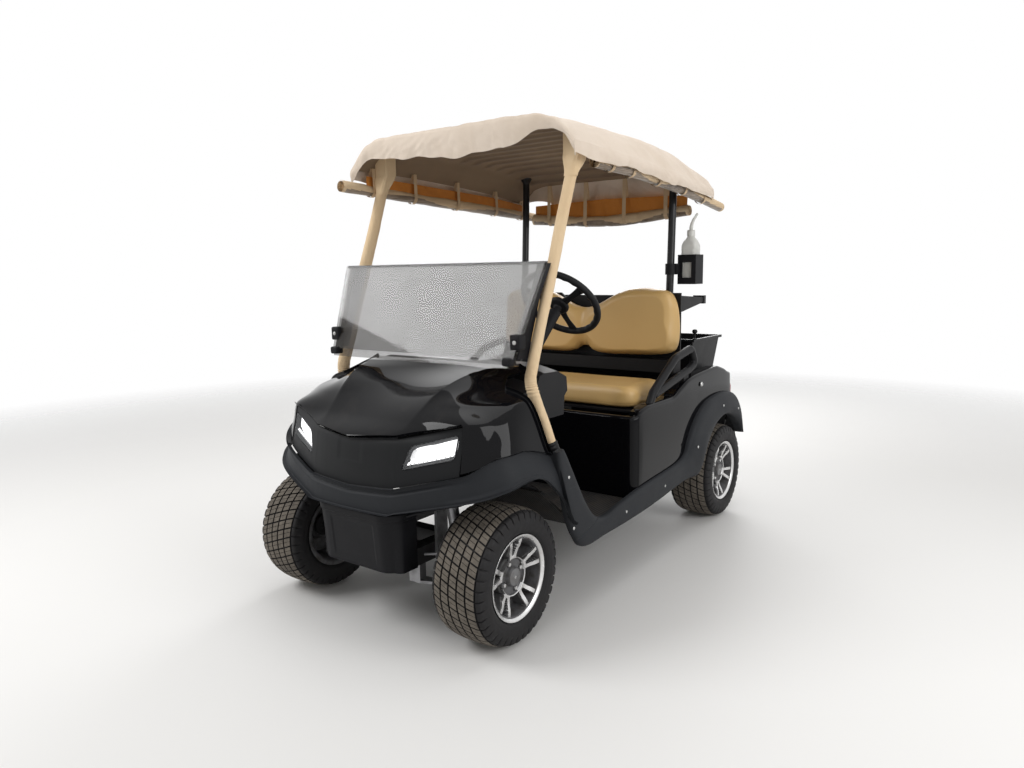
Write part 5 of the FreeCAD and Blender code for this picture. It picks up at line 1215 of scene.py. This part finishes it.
def back_cushion():
    """Backrest: one lobe a person, joined in the middle. The outline is a spline of the lobe. After the swelling the
    front is crowned by sin of the distance to the edge, pushed out 6 mm at the lumbar, drawn in along the middle,
    and seamed round its side."""
    right = spline(BACK_LOBE, 110)
    outline = np.vstack([right, right[::-1] * [-1, 1]])
    item = raw_object("back_cushion", add_slab(Shape(), outline, 0.3745, 0.4425, "y", 0.026, 6), vinyl)
    points, finish = swell(item, 0.020, lambda p: p[:, 1] > 0.436)
    edge = line_gap(points[:, [0, 2]], np.vstack([outline, outline[:1]])[::2])
    crown = np.clip(edge / 0.14, 0, 1)
    front = 1 - smooth_step(0.375, 0.415, points[:, 1])
    lumbar = bell(points[:, 2], 0.93, 0.07) * 0.006
    points[:, 1] -= front * (0.004 * np.sin(crown * np.pi / 2) + lumbar * smooth_step(0.03, 0.1, np.abs(points[:, 0])))
    points[:, 1] += front * 0.014 * bell(points[:, 0], 0, 0.03)
    points[:, 1] = np.clip(points[:, 1], 0.3620, 0.4462)
    seam = bell(points[:, 1], 0.414, 0.003) * (1 - smooth_step(0.0, 0.02, edge))
    points += 0.0016 * seam[:, None] * unit(np.stack([-points[:, 0], 0 * edge, 0.98 - points[:, 2]], -1))
    finish_cushion(item, points, seam, finish)
    return item


def bottom_cushion():
    """Seat: a slab with a rolled front, dished 9 mm under each person, higher along its front and middle, and seamed
    round its side."""
    plan = rounded(np.array([(-0.484, -0.030), (0.484, -0.030), (0.484, 0.322), (-0.484, 0.322)]),
                   [0.085, 0.085, 0.045, 0.045], 12)
    item = raw_object("bottom_cushion", add_slab(Shape(), plan, 0.6455, 0.7205, "z", 0.028, 6), vinyl)
    points, finish = swell(item, 0.022, lambda p: p[:, 2] < 0.650)
    x, y, z = points.T.copy()
    top = smooth_step(0.68, 0.72, z)
    dish = np.exp(-((np.abs(x) - 0.24) / 0.13) ** 2 - ((y - 0.17) / 0.10) ** 2)
    points[:, 2] += top * (-0.009 * dish + 0.003 * bell(y, 0.02, 0.06) + 0.003 * bell(x, 0, 0.08))
    points = np.clip(points, [-0.4985, -0.0480, 0.6405], [0.4985, 0.3400, 0.7345])
    edge = line_gap(points[:, :2], np.vstack([plan, plan[:1]])[::2])
    seam = bell(points[:, 2], 0.664, 0.003) * (1 - smooth_step(0, 0.03, edge))
    points[:, :2] -= 0.0014 * seam[:, None] * unit(points[:, :2] - [0, 0.15])
    finish_cushion(item, points, seam, finish)
    return item


for make, body, node in ((back_cushion, "chassis", "seat_back_cushion"),
                         (bottom_cushion, "seat_bottom", "seat_cushion")):
    item = make()
    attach(item, body)
    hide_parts(node)


# CAD nodes that stay: a finish each, and rounded edges
def keep(name, finish, bevel):
    """A CAD node shown as it is, with its finish and with its sharp edges rounded by bevel."""
    item = nodes[name]
    item.data.materials.clear()
    item.data.materials.append(finish)
    if bevel:
        m = item.modifiers.new("edges", "BEVEL")
        m.width, m.segments, m.limit_method, m.angle_limit = bevel, 2, "ANGLE", math.radians(32)
        m.harden_normals = False


for name, finish, bevel in (
        ("frame_rails", cast_black, 0.002), ("floor_pan", mat_rubber, 0.002), ("firewall", trim_black, 0.001),
        ("fender_liner_left", trim_black, 0), ("fender_liner_right", trim_black, 0),
        ("dashboard", satin, 0.006), ("steering_column", trim_black, 0.002), ("windshield_upper", pane, 0),
        ("windshield_lower", pane, 0), ("windshield_clips", trim_black, 0.0015),
        ("windshield_mounts", trim_black, 0.002),
        ("front_struts", tube_black, 0), ("rear_body", paint, 0.008),
        ("bag_well", trim_black, 0.003), ("rear_bumper", charcoal, 0.006), ("sweater_basket", satin, 0.003),
        ("seat_pan", trim_black, 0.002), ("seat_hinge_bar", zinc, 0), ("seat_back_panel", satin, 0.004),
        ("hip_restraints", satin, 0), ("battery_pack", battery_black, 0.003), ("rear_axle", cast_black, 0.002),
        ("drive_motor", motor_grey, 0.003), ("rear_springs", cast_black, 0.001),
        ("front_suspension", grey_metal, 0.0012),
        ("knuckle_left", cast_black, 0.002), ("knuckle_right", cast_black, 0.002), ("tie_rods", zinc, 0),
        ("steering_gear", cast_black, 0.001), ("steering_wheel", grip_black, 0.002), ("pedals", pedal_black, 0.002),
        ("bag_rack", satin, 0.004), ("bottle_holder", trim_black, 0.002), ("seed_bottle", bottle_plastic, 0.003)):
    keep(name, finish, bevel)


# steering wheel, straps, bottle and small parts
WHEEL_AT = (0.250, -0.215, 1.090)
TILT = math.radians(42)
WHEEL_TURN = np.array([[1, 0, 0], [0, math.sin(TILT), math.cos(TILT)], [0, -math.cos(TILT), math.sin(TILT)]])


def flat_ring(radius, sides, z=0.0):
    """Points of a level circle about Z."""
    a = circle(sides)
    return np.stack([radius * np.cos(a), radius * np.sin(a), np.full(sides, z)], -1)


def hand_wheel():
    """Steering wheel about its own Z: a grip ring whose radius has 24 finger dents on its underside, three spokes
    swept from hub to ring with a superellipse that narrows, and a turned hub with a rounded pad."""
    s = Shape()
    ring = flat_ring(0.161, 192)
    spoke = tube_grid(ring, 1.0, 22, closed=True) - ring[:, None]
    side = circle(22)[None]
    bumps = 0.0010 * np.cos(24 * circle(192))[:, None] * np.clip(-np.sin(side + 0.5), 0, 1)
    grip = 0.0136 + bumps - 0.0006 * np.cos(2 * side)
    s.grid(ring[:, None] + spoke * grip[..., None], close_rows=True, close_columns=True)
    t = np.linspace(0, 1, 24)[:, None]
    width = 0.017 - 0.0055 * np.sin(np.pi * t) + 0.002 * t
    y, z = soft_square(circle(24), 0.62)
    arm = np.stack([0.030 + (0.152 - 0.030) * t + 0 * y, width * y,
                    -0.011 + 0.010 * smooth_step(0.2, 0.95, t) + 0.0052 * z], -1)
    for turn in (90, 210, 330):
        c, n = math.cos(math.radians(turn)), math.sin(math.radians(turn))
        s.grid(arm @ np.array([[c, n, 0], [-n, c, 0], [0, 0, 1]]), close_columns=True)
    hub = spline([(-0.0517, 0.0155), (-0.027, 0.016), (-0.024, 0.034), (-0.018, 0.0415), (-0.008, 0.0415),
                  (-0.002, 0.036), (0.0, 0.028), (0.0005, 0.002)], 40)
    return add_turned(s, hub, "z", 64).fan(flat_ring(0.002, 64, 0.0005))


build("hand_wheel", hand_wheel().turned(WHEEL_TURN).moved(*WHEEL_AT), grip_black, "steering",
      ["steering_wheel"])


def strap_path(line, share, radius, side):
    """A strap's path: from the roof's rim down the inner side, once round under the roll, and up its outer side.
    side is 1 or -1 on the cart's sides and 0 at its rear."""
    centre = np.array([np.interp(share, np.linspace(0, 1, len(line)), line[:, k]) for k in range(3)])
    x, y = centre[:2]
    a = np.linspace(np.radians(168), np.radians(372), 40)
    across = np.array([side, 0 if side else 1.0, 0])
    around = centre + (radius + 0.0012) * (np.cos(a)[:, None] * across + np.sin(a)[:, None] * [0, 0, 1.0])
    top = roof_z(np.clip(x, -0.515, 0.515), np.clip(y, -0.55, 0.60)) - 0.024
    start, finish = (np.array([side * reach, y, top] if side else [x, reach, top])
                     for reach in ((0.4955, 0.505) if side else (0.590, 0.598)))
    rise = np.linspace(0, 1, 12)[:, None]
    first = start + (around[0] - start) * rise
    last = around[-1] + (finish - around[-1]) * rise
    return np.vstack([first[:-1], around, last[1:]])


def strap_sheet(path, width, way):
    """Webbing: the path spread to its width along one direction, with a slight ripple."""
    t = np.linspace(-0.5, 0.5, 7)
    run = np.linspace(0, 1, len(path))[:, None]
    q = path[:, None] + t[None, :, None] * width * np.asarray(way, float)
    q[..., 2] += 0.0006 * np.sin(run * 30) * np.cos(t * 6)[None]
    return q


webbing = cloth("strap_webbing", srgb(206, 180, 146), srgb(168, 140, 104), 0.0018, 0.3)
STRAP = 0.020
for name, side, shares in (("left", 1, (0.12, 0.3, 0.5, 0.7, 0.84)), ("right", -1, (0.12, 0.3, 0.5, 0.7, 0.86)),
                           ("rear", 0, (0.125, 0.375, 0.625, 0.875))):
    line, radius = ROLLS[name][:2]
    for number, share in enumerate(shares):
        path = strap_path(line, share, radius, side)
        shape = Shape().grid(strap_sheet(path, STRAP, (0, 1, 0) if side else (1, 0, 0)))
        item = build("strap_%s_%d" % (name, number + 1), shape, webbing)
        "curtain_roll_" + name


BOTTLE_X, BOTTLE_Y, BOTTLE_Z = 0.472, 0.561, 1.1546


def seed_bottle():
    """Bottle with a rounded square section: its half width is a spline of height and its corners are a superellipse
    whose power goes from 5.2 in the body to 2 at the neck; then the cap and the bent spout."""
    prof = spline([(0.0, 0.026), (0.002, 0.033), (0.012, 0.0362), (0.085, 0.0364), (0.160, 0.0362), (0.176, 0.0345),
                   (0.192, 0.0295), (0.206, 0.0215), (0.214, 0.0165), (0.222, 0.0158)], 64)
    z, half = prof[:, 0][:, None], prof[:, 1][:, None]
    x, y = soft_square(circle(72), 2.0 / (2.0 + 3.2 * (1 - smooth_step(0.17, 0.21, z))))
    ribs = 1 - 0.03 * bell(z, 0.120, 0.004) - 0.03 * bell(z, 0.145, 0.004)
    centre = np.array([BOTTLE_X, BOTTLE_Y, BOTTLE_Z])
    s = Shape().grid(centre + np.stack([x * half * ribs, y * half * ribs, z + 0 * x], -1), close_columns=True)
    s.fan(centre + np.stack([x[0] * half[0], y[0] * half[0], 0 * x[0]], -1), flip=True)
    add_turned(s, [(0.214, 0.0125), (0.214, 0.0185), (0.240, 0.0180), (0.243, 0.0160), (0.2445, 0.010),
                   (0.2445, 0.009)], "z", 40, centre)
    spout = centre + spline([(0, 0, 0.238), (0, 0.003, 0.262), (0, 0.024, 0.288), (0, 0.066, 0.3185)], 40)
    return add_tube(s, spout, np.linspace(0.0092, 0.0060, 40), 20)


def bottle_loop():
    """Handle: a bent flat tube from the bottle's shoulder to its waist."""
    loop = spline([(BOTTLE_X, BOTTLE_Y + y, z) for y, z in (
        (0.034, 1.318), (0.060, 1.312), (0.070, 1.285), (0.068, 1.235), (0.056, 1.205), (0.036, 1.212))], 60)
    return add_tube(Shape(), loop, 0.0052, 14, flat=1.5)


build("bottle_body", seed_bottle(), bottle_plastic, replaces=["seed_bottle"])
build("bottle_handle", bottle_loop(), trim_black)


def stud(shape, place, way, rings, sides):
    """Rings of (radius at each side, height) stacked at place along way, and a fan on the last."""
    way = unit(np.asarray(way, float))
    across = unit(np.cross(way, [0.3, 0.5, 0.8]))
    other = np.cross(way, across)
    a = circle(sides)
    g = np.stack([place + (r * np.cos(a))[:, None] * across + (r * np.sin(a))[:, None] * other + way * h
                  for r, h in rings])
    return shape.grid(g, close_columns=True).fan(g[-1])


def bolt(shape, place, way, radius, height):
    """A hexagon head with a chamfered top on a washer, standing at place along way."""
    six = np.cos(np.pi / 6) / np.cos(np.mod(circle(18), np.pi / 3) - np.pi / 6)
    return stud(shape, place, way, ((radius * 1.35, 0.0), (radius * 1.35, 0.0012), (radius * 1.05, 0.0014),
                                    (radius * six, 0.0015), (radius * six, height * 0.8),
                                    (radius * 0.8 * six, height)), 18)


def button(shape, place, way, radius, height):
    """A domed trim clip: height x sqrt(1 - (r / radius)^2)."""
    return stud(shape, place, way, [(radius * k, height * math.sqrt(1 - k * k) - 0.0005)
                                    for k in (1.0, 0.94, 0.8, 0.55, 0.2)], 20)


# body side, sills and small parts
ARCH_Y, ARCH_Z = REAR_AXLE, HUB
SIDE_PLAN = [(0.395, 0.9990), (0.440, 0.9985), (0.476, 0.9850), (0.5095, 0.9655), (0.5320, 0.9390), (0.5455, 0.9050),
             (0.5500, 0.865), (0.5502, 0.72), (0.5502, 0.45), (0.5502, 0.10), (0.5502, -0.085), (0.5470, -0.1110),
             (0.5330, -0.1300), (0.5050, -0.1352), (0.440, -0.1352)]
SIDE_TOP = [(-0.136, 0.6320), (-0.125, 0.6325), (-0.106, 0.6400), (-0.094, 0.6520), (-0.050, 0.6625), (-0.011, 0.6670),
            (0.206, 0.6675), (0.300, 0.6950), (0.393, 0.7260), (0.550, 0.7410), (0.714, 0.7480), (0.807, 0.7300),
            (0.863, 0.7090), (0.910, 0.6950), (0.955, 0.6720), (0.985, 0.6250), (0.999, 0.5950)]


def raised(line, out, away, z):
    """A surface over a plan line: its points stand off the line by away along out, at the heights z."""
    plan = line[:, None] + out[:, None] * away[..., None]
    return np.concatenate([plan, np.broadcast_to(z, away.shape)[..., None]], -1)


def body_belt():
    """Painted skin round the seat box: a plan line carried up a section. The section stands 4.5 mm off the solid,
    swells by sin(pi u), and turns in over the shoulder on a quarter circle of 14 mm, which shrinks to 4 mm at the
    tail; its foot follows the wheel arch."""
    half = spline(SIDE_PLAN, 300)
    plan = np.vstack([half, half[::-1][1:] * [-1, 1]])
    out = beside(plan)
    y = plan[:, 1]
    keys, values = np.array(SIDE_TOP).T
    top = table_curve(keys, values, np.clip(y, -0.136, 0.999)) + 0.0045
    arch_radius = 0.292
    arch = ARCH_Z + np.sqrt(np.clip(arch_radius ** 2 - (y - ARCH_Y) ** 2, 0, None))
    side = smooth_step(-0.13, -0.08, y)
    foot = np.maximum(0.3025 + 0.020 * side, np.where(np.abs(y - ARCH_Y) < arch_radius, arch, 0.0))
    tail = smooth_step(0.885, 0.915, y)[:, None]
    r = 0.014 - 0.010 * tail[:, 0]
    u = np.linspace(0, 1, 22)[None]
    level = foot[:, None] + (top - r - foot)[:, None] * u
    stand = 0.0045 - 0.0028 * tail
    crown = stand + 0.0035 * side[:, None] * (1 - tail) * np.sin(np.pi * u)
    a = np.linspace(0, np.pi / 2, 9)[None, 1:]
    arc_level = (top - r)[:, None] + r[:, None] * np.sin(a)
    arc_out = stand - r[:, None] * (1 - np.cos(a))
    width = (0.020 + 0.0258 * smooth_step(-0.10, -0.06, y) - 0.0258 * smooth_step(0.84, 0.93, y))[:, None]
    away = np.hstack([np.full_like(width, -0.004), crown + 0 * level, arc_out, -width, -width - 0.0002])
    z = np.hstack([foot[:, None], level, arc_level, top[:, None] - 0.0004, top[:, None] - 0.012])
    return Shape().grid(raised(plan, out, away, z))


def lamp_glass():
    """Red lamp at a rear corner: the belt's plan line between two points, carried up a section that stands out by
    8 mm (1 - |2u - 1|^6)^(1/6), and by the same law along its length."""
    half = spline(SIDE_PLAN, 1200)
    half = half[(half[:, 1] > 0.9215) & (half[:, 0] > 0.449)][::8]
    u, run = ((1 - np.cos(np.linspace(0, np.pi, count))) / 2 for count in (25, len(half)))
    law_along, law_up = ((1 - np.abs(2 * s - 1) ** 6) ** (1 / 6) for s in (run[:, None], u[None]))
    index = run * (len(half) - 1)
    line, away = (np.stack([np.interp(index, np.arange(len(half)), of[:, n]) for n in (0, 1)], -1)
                  for of in (half, beside(half)))
    stand = 0.0005 + 0.0080 * law_along * law_up
    z = 0.5605 + 0.079 * u
    rib = 0.0006 * np.cos(z * 2 * np.pi / 0.0098)[None] * law_along
    return Shape().grid(raised(line, away, stand + rib, z))


def arch_lining():
    """Inner lining of a rear wheel arch: a half drum of radius 281 mm with 7 cross ribs, and an inner lip."""
    t = np.radians(np.linspace(-2, 168, 150))[:, None]
    x = np.concatenate([[0.3720], np.linspace(0.3725, 0.5490, 44)])[None]
    r = 0.2810 + 0.003 * bell(np.mod(np.degrees(t), 24.0), 12, 1.6) * window(0.38, 0.40, 0.52, 0.54, x)
    r = np.where(x < 0.3722, 0.2600, r)
    return Shape().grid(np.stack([x + 0 * t, ARCH_Y + r * np.cos(t), ARCH_Z + r * np.sin(t)], -1))


def rear_panel():
    """Closing panel between the seat box and the bag well: a sheet with upright ribs of 3.2 mm cos^2(pi x / 55 mm)."""
    x = np.linspace(-0.3705, 0.3705, 241)[None]
    h = np.linspace(0, 1, 60)[:, None]
    z = 0.386 + (0.7035 - 0.386) * h
    band = window(0.06, 0.12, 0.88, 0.94, h) * (1 - smooth_step(0.33, 0.345, np.abs(x)))
    y = 0.8690 + 0.0032 * band * np.cos(np.pi * x / 0.055) ** 2
    return Shape().grid(np.stack([x + 0 * h, y, z + 0 * x], -1), flip=True)


SILL_TOP = [(-0.697, 0.6235), (-0.668, 0.585), (-0.610, 0.496), (-0.545, 0.400), (-0.482, 0.334), (-0.410, 0.3100),
            (-0.300, 0.324), (-0.125, 0.345), (0.020, 0.356), (0.150, 0.364), (0.262, 0.376), (0.322, 0.398),
            (0.352, 0.448), (0.390, 0.500), (0.436, 0.543), (0.485, 0.575), (0.560, 0.605), (0.666, 0.6205),
            (0.760, 0.6225), (0.850, 0.612), (0.916, 0.580), (0.962, 0.532), (0.993, 0.466), (1.0045, 0.388)]
SILL_LOW = [(-0.737, 0.6190), (-0.727, 0.570), (-0.700, 0.470), (-0.669, 0.372), (-0.630, 0.300), (-0.560, 0.237),
            (-0.400, 0.2355), (-0.150, 0.2385), (0.050, 0.250), (0.180, 0.262), (0.330, 0.274), (0.455, 0.270)]
ARCH_TURN = [166, 156, 143, 131, 117.8, 103.2, 89.6, 76.2, 65.6, 55.9, 45, 32.5]


def sill_sweep():
    """Brace, sill and wheel flare in one: two side-view splines, and between them a section that stands out by
    H (1 - |2u - 1|^4)^(1/4); H grows from 25 mm on the sill to 50 mm on the flare. run numbers the upper spline's
    points, from the brace to the tail; a groove crosses the sill at 4.35."""
    t = np.radians(ARCH_TURN)
    ring = np.stack([ARCH_Y + 0.2795 * np.cos(t), ARCH_Z + 0.2795 * np.sin(t)], -1)
    count = 360
    high, low = spline(SILL_TOP, count), spline(np.vstack([SILL_LOW, ring]), count)
    run = np.linspace(0, 23, count)
    depth = 0.0246 + 0.0250 * smooth_step(9.6, 13.5, run) - 0.004 * smooth_step(21.5, 23, run)
    u = (1 - np.cos(np.linspace(0, np.pi, 27))) / 2
    stand = (1 - np.abs(2 * u - 1) ** 4.0) ** 0.25
    flare = smooth_step(10.5, 13.5, run)[:, None]
    stand = stand[None] * (1 - 0.16 * flare * (1 - smooth_step(0.15, 0.75, u))[None])
    yz = high[:, None] + (low - high)[:, None] * u[None, :, None]
    x = 0.5504 + depth[:, None] * stand
    groove = bell(run[:, None], 4.35, 0.035) * 0.003 * (u > 0.02) * (u < 0.98)
    p = np.concatenate([(x - groove)[..., None], yz], -1)
    return Shape().grid(p, close_columns=True).fan(p[0], flip=True).fan(p[-1])


def nose_box():
    """Moulded box under the front bumper: a plan with cut corners carried down a section with a top flange and a
    rolled foot, and a shallow panel pressed into its front."""
    corners = [(-0.1935, -1.0275), (-0.1935, -1.106), (-0.149, -1.1475), (0.149, -1.1475), (0.1935, -1.106),
               (0.1935, -1.0275)]
    plan = rounded(corners, [0.0, 0.022, 0.026, 0.026, 0.022, 0.0], 10)
    plan = evenly(plan[np.concatenate([[True], steps_of(plan) > 1e-7])], 220)
    out = -beside(plan)
    section = spline([(-0.014, 0.2295), (-0.006, 0.2285), (-0.001, 0.2310), (0.0, 0.2370), (0.0, 0.300), (0.0, 0.370),
                      (0.0, 0.4030), (0.0006, 0.4080), (0.0038, 0.4120), (0.0042, 0.4180), (0.0040, 0.4300),
                      (0.0016, 0.4350), (-0.004, 0.4362), (-0.012, 0.4362)], 72)
    away, z = section[:, 0][None], section[:, 1][None]
    lean = 0.020 * np.clip((0.434 - z) / 0.206, 0, 1) * smooth_step(0.10, 0.9, -out[:, 1])[:, None]
    front = smooth_step(0.9, 0.99, -out[:, 1])[:, None]
    panel = window(0.255, 0.262, 0.388, 0.395, z) * (1 - smooth_step(0.098, 0.106, np.abs(plan[:, 0])))[:, None]
    return Shape().grid(raised(plan, out, away - 0.0022 * panel * front - lean, z)[::-1])


def strut_collar():
    """Cloth collar where a front strut meets the roof: rings go from a circle to a rounded square, with small folds."""
    foot, middle = 1.545, 0.4686
    h = np.linspace(0, 1, 26)[:, None]
    a = circle(72)[None]
    z = foot + (roof_z(middle + 0.036 * np.cos(a), -0.455 + 0 * a) - 0.010 - foot) * h
    grow = smooth_step(0.05, 0.45, h)
    u, v = soft_square(a, 2.0 / (2.0 + 3.5 * grow))
    fold = 1 + 0.035 * np.sin(9 * a + 4 * h) * np.sin(np.pi * np.clip(h * 1.2, 0, 1)) + 0.02 * np.sin(5 * a + 1)
    x = middle + (0.0245 + 0.0105 * grow) * fold * u
    y = np.minimum(-0.742 + 0.37 * (z - 0.852), -0.4548) + (0.0245 + 0.0085 * grow) * fold * v
    return Shape().grid(np.stack([x, y, z], -1), close_columns=True, flip=True)


def strut_boot():
    """Moulded boot where a front strut stands in the brace: a short tube along the strut with three raised rings."""
    t = np.linspace(0, 1, 40)
    foot, head = np.array([0.5245, -0.6760, 0.5650]), np.array([0.5085, -0.6932, 0.6400])
    path = foot + (head - foot) * t[:, None]
    radius = 0.0300 - 0.0040 * t + 0.0012 * np.sin(t * 6 * np.pi) ** 2
    return add_tube(Shape(), path, radius, 40)


def pane_y(z):
    """Where the upper pane's front is at a height."""
    return -0.809 + 0.41 * (z - 0.929)


def clamp_block(shape, x, z, wide, tall):
    """Windshield clamp: a rounded block across the panes."""
    outline = rounded([(x - wide, z - tall), (x + wide, z - tall), (x + wide, z + tall), (x - wide, z + tall)],
                      0.008, 5)
    mid = pane_y(z) + 0.008
    return add_slab(shape, outline, mid - 0.019, mid + 0.019, "y", 0.005, 3)


def valance(line, head, inset, seed):
    """Amber sheet from the roof's rim down to a roll: the roll's line and a line at the heights of head above it,
    joined by rows that swing by 4 mm and stand inset to the inside."""
    p = spline(line, 220)
    t = np.linspace(0, 1, 16)[None]
    sway = waves(np.linspace(0, 1.4, 220)[:, None], t * 0.06, 8, 0.05, 0.25, seed) * 0.004
    along_x = abs(line[-1][0] - line[0][0]) > 0.5
    low, high = p[:, 2] + 0.006, np.interp(np.linspace(0, 1, 220), np.linspace(0, 1, len(head)), head)
    z = high[:, None] + (low - high)[:, None] * t
    x, y = p[:, 0][:, None] + 0 * t, p[:, 1][:, None] + 0 * t
    x, y = (x, y + inset + sway) if along_x else (x + np.sign(x) * inset + sway, y)
    return Shape().grid(np.stack([x, y, z], -1))


def rear_post():
    """Rear strut: circles along a spline that leans back at mid height; the last 30 mm flare as a trumpet under the
    roof."""
    path = spline([(0.410, 0.4895, 0.7083), (0.410, 0.4802, 0.90), (0.410, 0.4725, 1.080), (0.410, 0.4822, 1.30),
                   (0.410, 0.4945, 1.580), (0.410, 0.4965, roof_z(0.410, 0.4965) - 0.008)], 120)
    flare = smooth_step(path[-1, 2] - 0.030, path[-1, 2], path[:, 2])
    return add_tube(Shape(), path, 0.0172 + 0.013 * flare, 32)


build("rear_posts", rear_post().both_sides(), tube_black, replaces=["rear_struts"])
build("belt_skin", body_belt(), paint)
build("tail_lamp_glass", lamp_glass().both_sides(), red_lens, replaces=["tail_lamps"])
build("arch_linings", arch_lining().both_sides(), trim_black, wall=0.002)
build("rear_panel", rear_panel(), trim_black, wall=0.002)
for name, shape in two_sides(sill_sweep):
    build("sill_skin_" + name, shape, charcoal, replaces=["sill_" + name])
build("nose_box", nose_box(), trim_black, replaces=["bumper_box"], wall=0.003)
for name, shape in two_sides(strut_collar):
    item = build("collar_cloth_" + name, shape, sleeve_cloth)
for name, line, head, inset, width in (
        ("right", np.clip(FAR_ROLL, [-1, -0.53, 0], [1, 0.60, 9]), (1.622, 1.612, 1.594, 1.570), -0.009, 0.052),
        ("rear", np.clip(REAR_ROLL, [-0.43, -0.54, 0], [0.43, 0.615, 9]), (1.562, 1.572, 1.562), -0.004, 0.085)):
    item = build("valance_" + name, valance(line, head, inset, 53), amber_sheet)
    "curtain_roll_" + name
build("strut_boots", strut_boot().both_sides(), satin)

clamps = Shape()
for side in (1, -1):
    clamp_block(clamps, 0.442 * side, 0.985, 0.020, 0.026)
    clamp_block(clamps, 0.424 * side, 0.921, 0.018, 0.014)
build("windshield_clamps", clamps, trim_black)

knob = spline([(0.0, 0.0105), (0.003, 0.0105), (0.005, 0.0052), (0.026, 0.0046), (0.030, 0.0090), (0.0375, 0.0125),
               (0.0455, 0.0092), (0.0485, 0.0006)], 48)
build("basket_knob", add_turned(Shape(), knob, "z", 32, (0.500, 0.561, 0.8915)), satin)

fasteners = Shape()
for x in (0.442, -0.442):
    bolt(fasteners, np.array([x, pane_y(0.985) - 0.0110, 0.985]), (0, -1, 0), 0.0052, 0.005)
button(fasteners, np.array([0.5622, 0.5092, 0.6907]), (1, 0, 0.1), 0.0110, 0.004)
for side in (1, -1):
    for depth, y, z in ((0.5747, -0.672, 0.520), (0.5747, -0.640, 0.330), (0.5747, -0.250, 0.285),
                        (0.5747, 0.100, 0.305), (0.5985, 0.395, 0.420), (0.5985, 0.700, 0.565),
                        (0.5985, 0.905, 0.520)):
        button(fasteners, np.array([side * depth, y, z]), (side, 0, 0), 0.0062, 0.0022)
build("trim_fasteners", fasteners, zinc)


# stage, light and camera
def plain_floor():
    """A pale floor that keeps the cart's shadow, under a backdrop that the camera sees as white."""
    mesh = bpy.data.meshes.new("floor")
    mesh.from_pydata(flat_ring(14, 96, -0.0005).tolist(), [], [list(range(96))])
    item = bpy.data.objects.new("floor", mesh)
    scene.collection.objects.link(item)
    f = Finish("pale_floor", (0.72, 0.715, 0.70), 0.6)
    edge = f.axis("X") ** 2 + f.axis("Y") ** 2
    f.set("Base Color", f.mix(f.noise(1.2, 3) * 0.04, (0.80, 0.795, 0.785), (0.74, 0.73, 0.72)))
    f.set("Alpha", edge.span(7, 40, 1.0, 0.0))
    mesh.materials.append(f.material)


def plain_world():
    """White to the camera, to mirrors and through glass; a softer grey-white light for everything else."""
    world = bpy.data.worlds.new("studio")
    scene.world = world
    world.use_nodes = True
    tree = world.node_tree
    tree.nodes.clear()
    rays = tree.nodes.new("ShaderNodeLightPath")
    seen = rays.outputs["Is Camera Ray"]
    for other in ("Is Glossy Ray", "Is Transmission Ray"):
        most = tree.nodes.new("ShaderNodeMath")
        most.operation = "MAXIMUM"
        tree.links.new(seen, most.inputs[0])
        tree.links.new(rays.outputs[other], most.inputs[1])
        seen = most.outputs[0]
    plain, soft, both = (tree.nodes.new(k) for k in ("ShaderNodeBackground", "ShaderNodeBackground",
                                                     "ShaderNodeMixShader"))
    plain.inputs["Color"].default_value = (1, 1, 1, 1)
    plain.inputs["Strength"].default_value = 1.0
    soft.inputs["Color"].default_value = (1.0, 0.985, 0.96, 1)
    soft.inputs["Strength"].default_value = 0.42
    tree.links.new(seen, both.inputs[0])
    tree.links.new(soft.outputs[0], both.inputs[1])
    tree.links.new(plain.outputs[0], both.inputs[2])
    tree.links.new(both.outputs[0], tree.nodes.new("ShaderNodeOutputWorld").inputs["Surface"])


def placed(item, right, up, away, place):
    """Links a light or a camera that looks against away, and makes it part of the stage."""
    way = Matrix(np.stack([right, up, away], -1).tolist()).to_4x4()
    way.translation = place
    item.matrix_world = way
    scene.collection.objects.link(item)


def soft_light(name, place, target, width, height, power):
    """A rectangular area light at place, facing target."""
    lamp = bpy.data.lights.new(name, "AREA")
    lamp.shape, lamp.size, lamp.size_y, lamp.energy = "RECTANGLE", width, height, power
    away = np.array(place, float) - np.array(target, float)
    away /= np.linalg.norm(away)
    right = np.cross([0, 0, 1.0], away)
    right /= np.linalg.norm(right)
    placed(bpy.data.objects.new(name, lamp), right, np.cross(away, right), away, place)


def photo_camera():
    """The camera of the photograph: its right and up come from its yaw, pitch and roll."""
    yaw, pitch, roll = math.radians(36.32), math.radians(8.36), math.radians(-0.82)
    ahead = np.array([-math.sin(yaw) * math.cos(pitch), math.cos(yaw) * math.cos(pitch), -math.sin(pitch)])
    right = np.array([math.cos(yaw), math.sin(yaw), 0.0])
    up = np.cross(right, ahead)
    r = math.cos(roll) * right + math.sin(roll) * up
    u = -math.sin(roll) * right + math.cos(roll) * up
    lens_data = bpy.data.cameras.new("photo_camera")
    lens_data.lens, lens_data.sensor_width = 26.63, 36.0
    item = bpy.data.objects.new("photo_camera", lens_data)
    placed(item, r, u, -ahead, (1.908, -2.807, 1.214))
    scene.camera = item


plain_floor()
plain_world()
soft_light("key", (-2.6, -3.2, 3.6), (0, -0.3, 0.7), 2.6, 1.8, 120)
soft_light("side", (4.2, -0.6, 2.4), (0, 0, 0.7), 2.4, 2.0, 74)
soft_light("top", (0.2, 0.6, 4.4), (0, 0.4, 0.8), 3.0, 3.0, 50)
soft_light("rear", (-1.5, 4.2, 2.6), (0, 0.4, 0.8), 2.4, 1.8, 80)
photo_camera()
scene.view_settings.view_transform = "Standard"
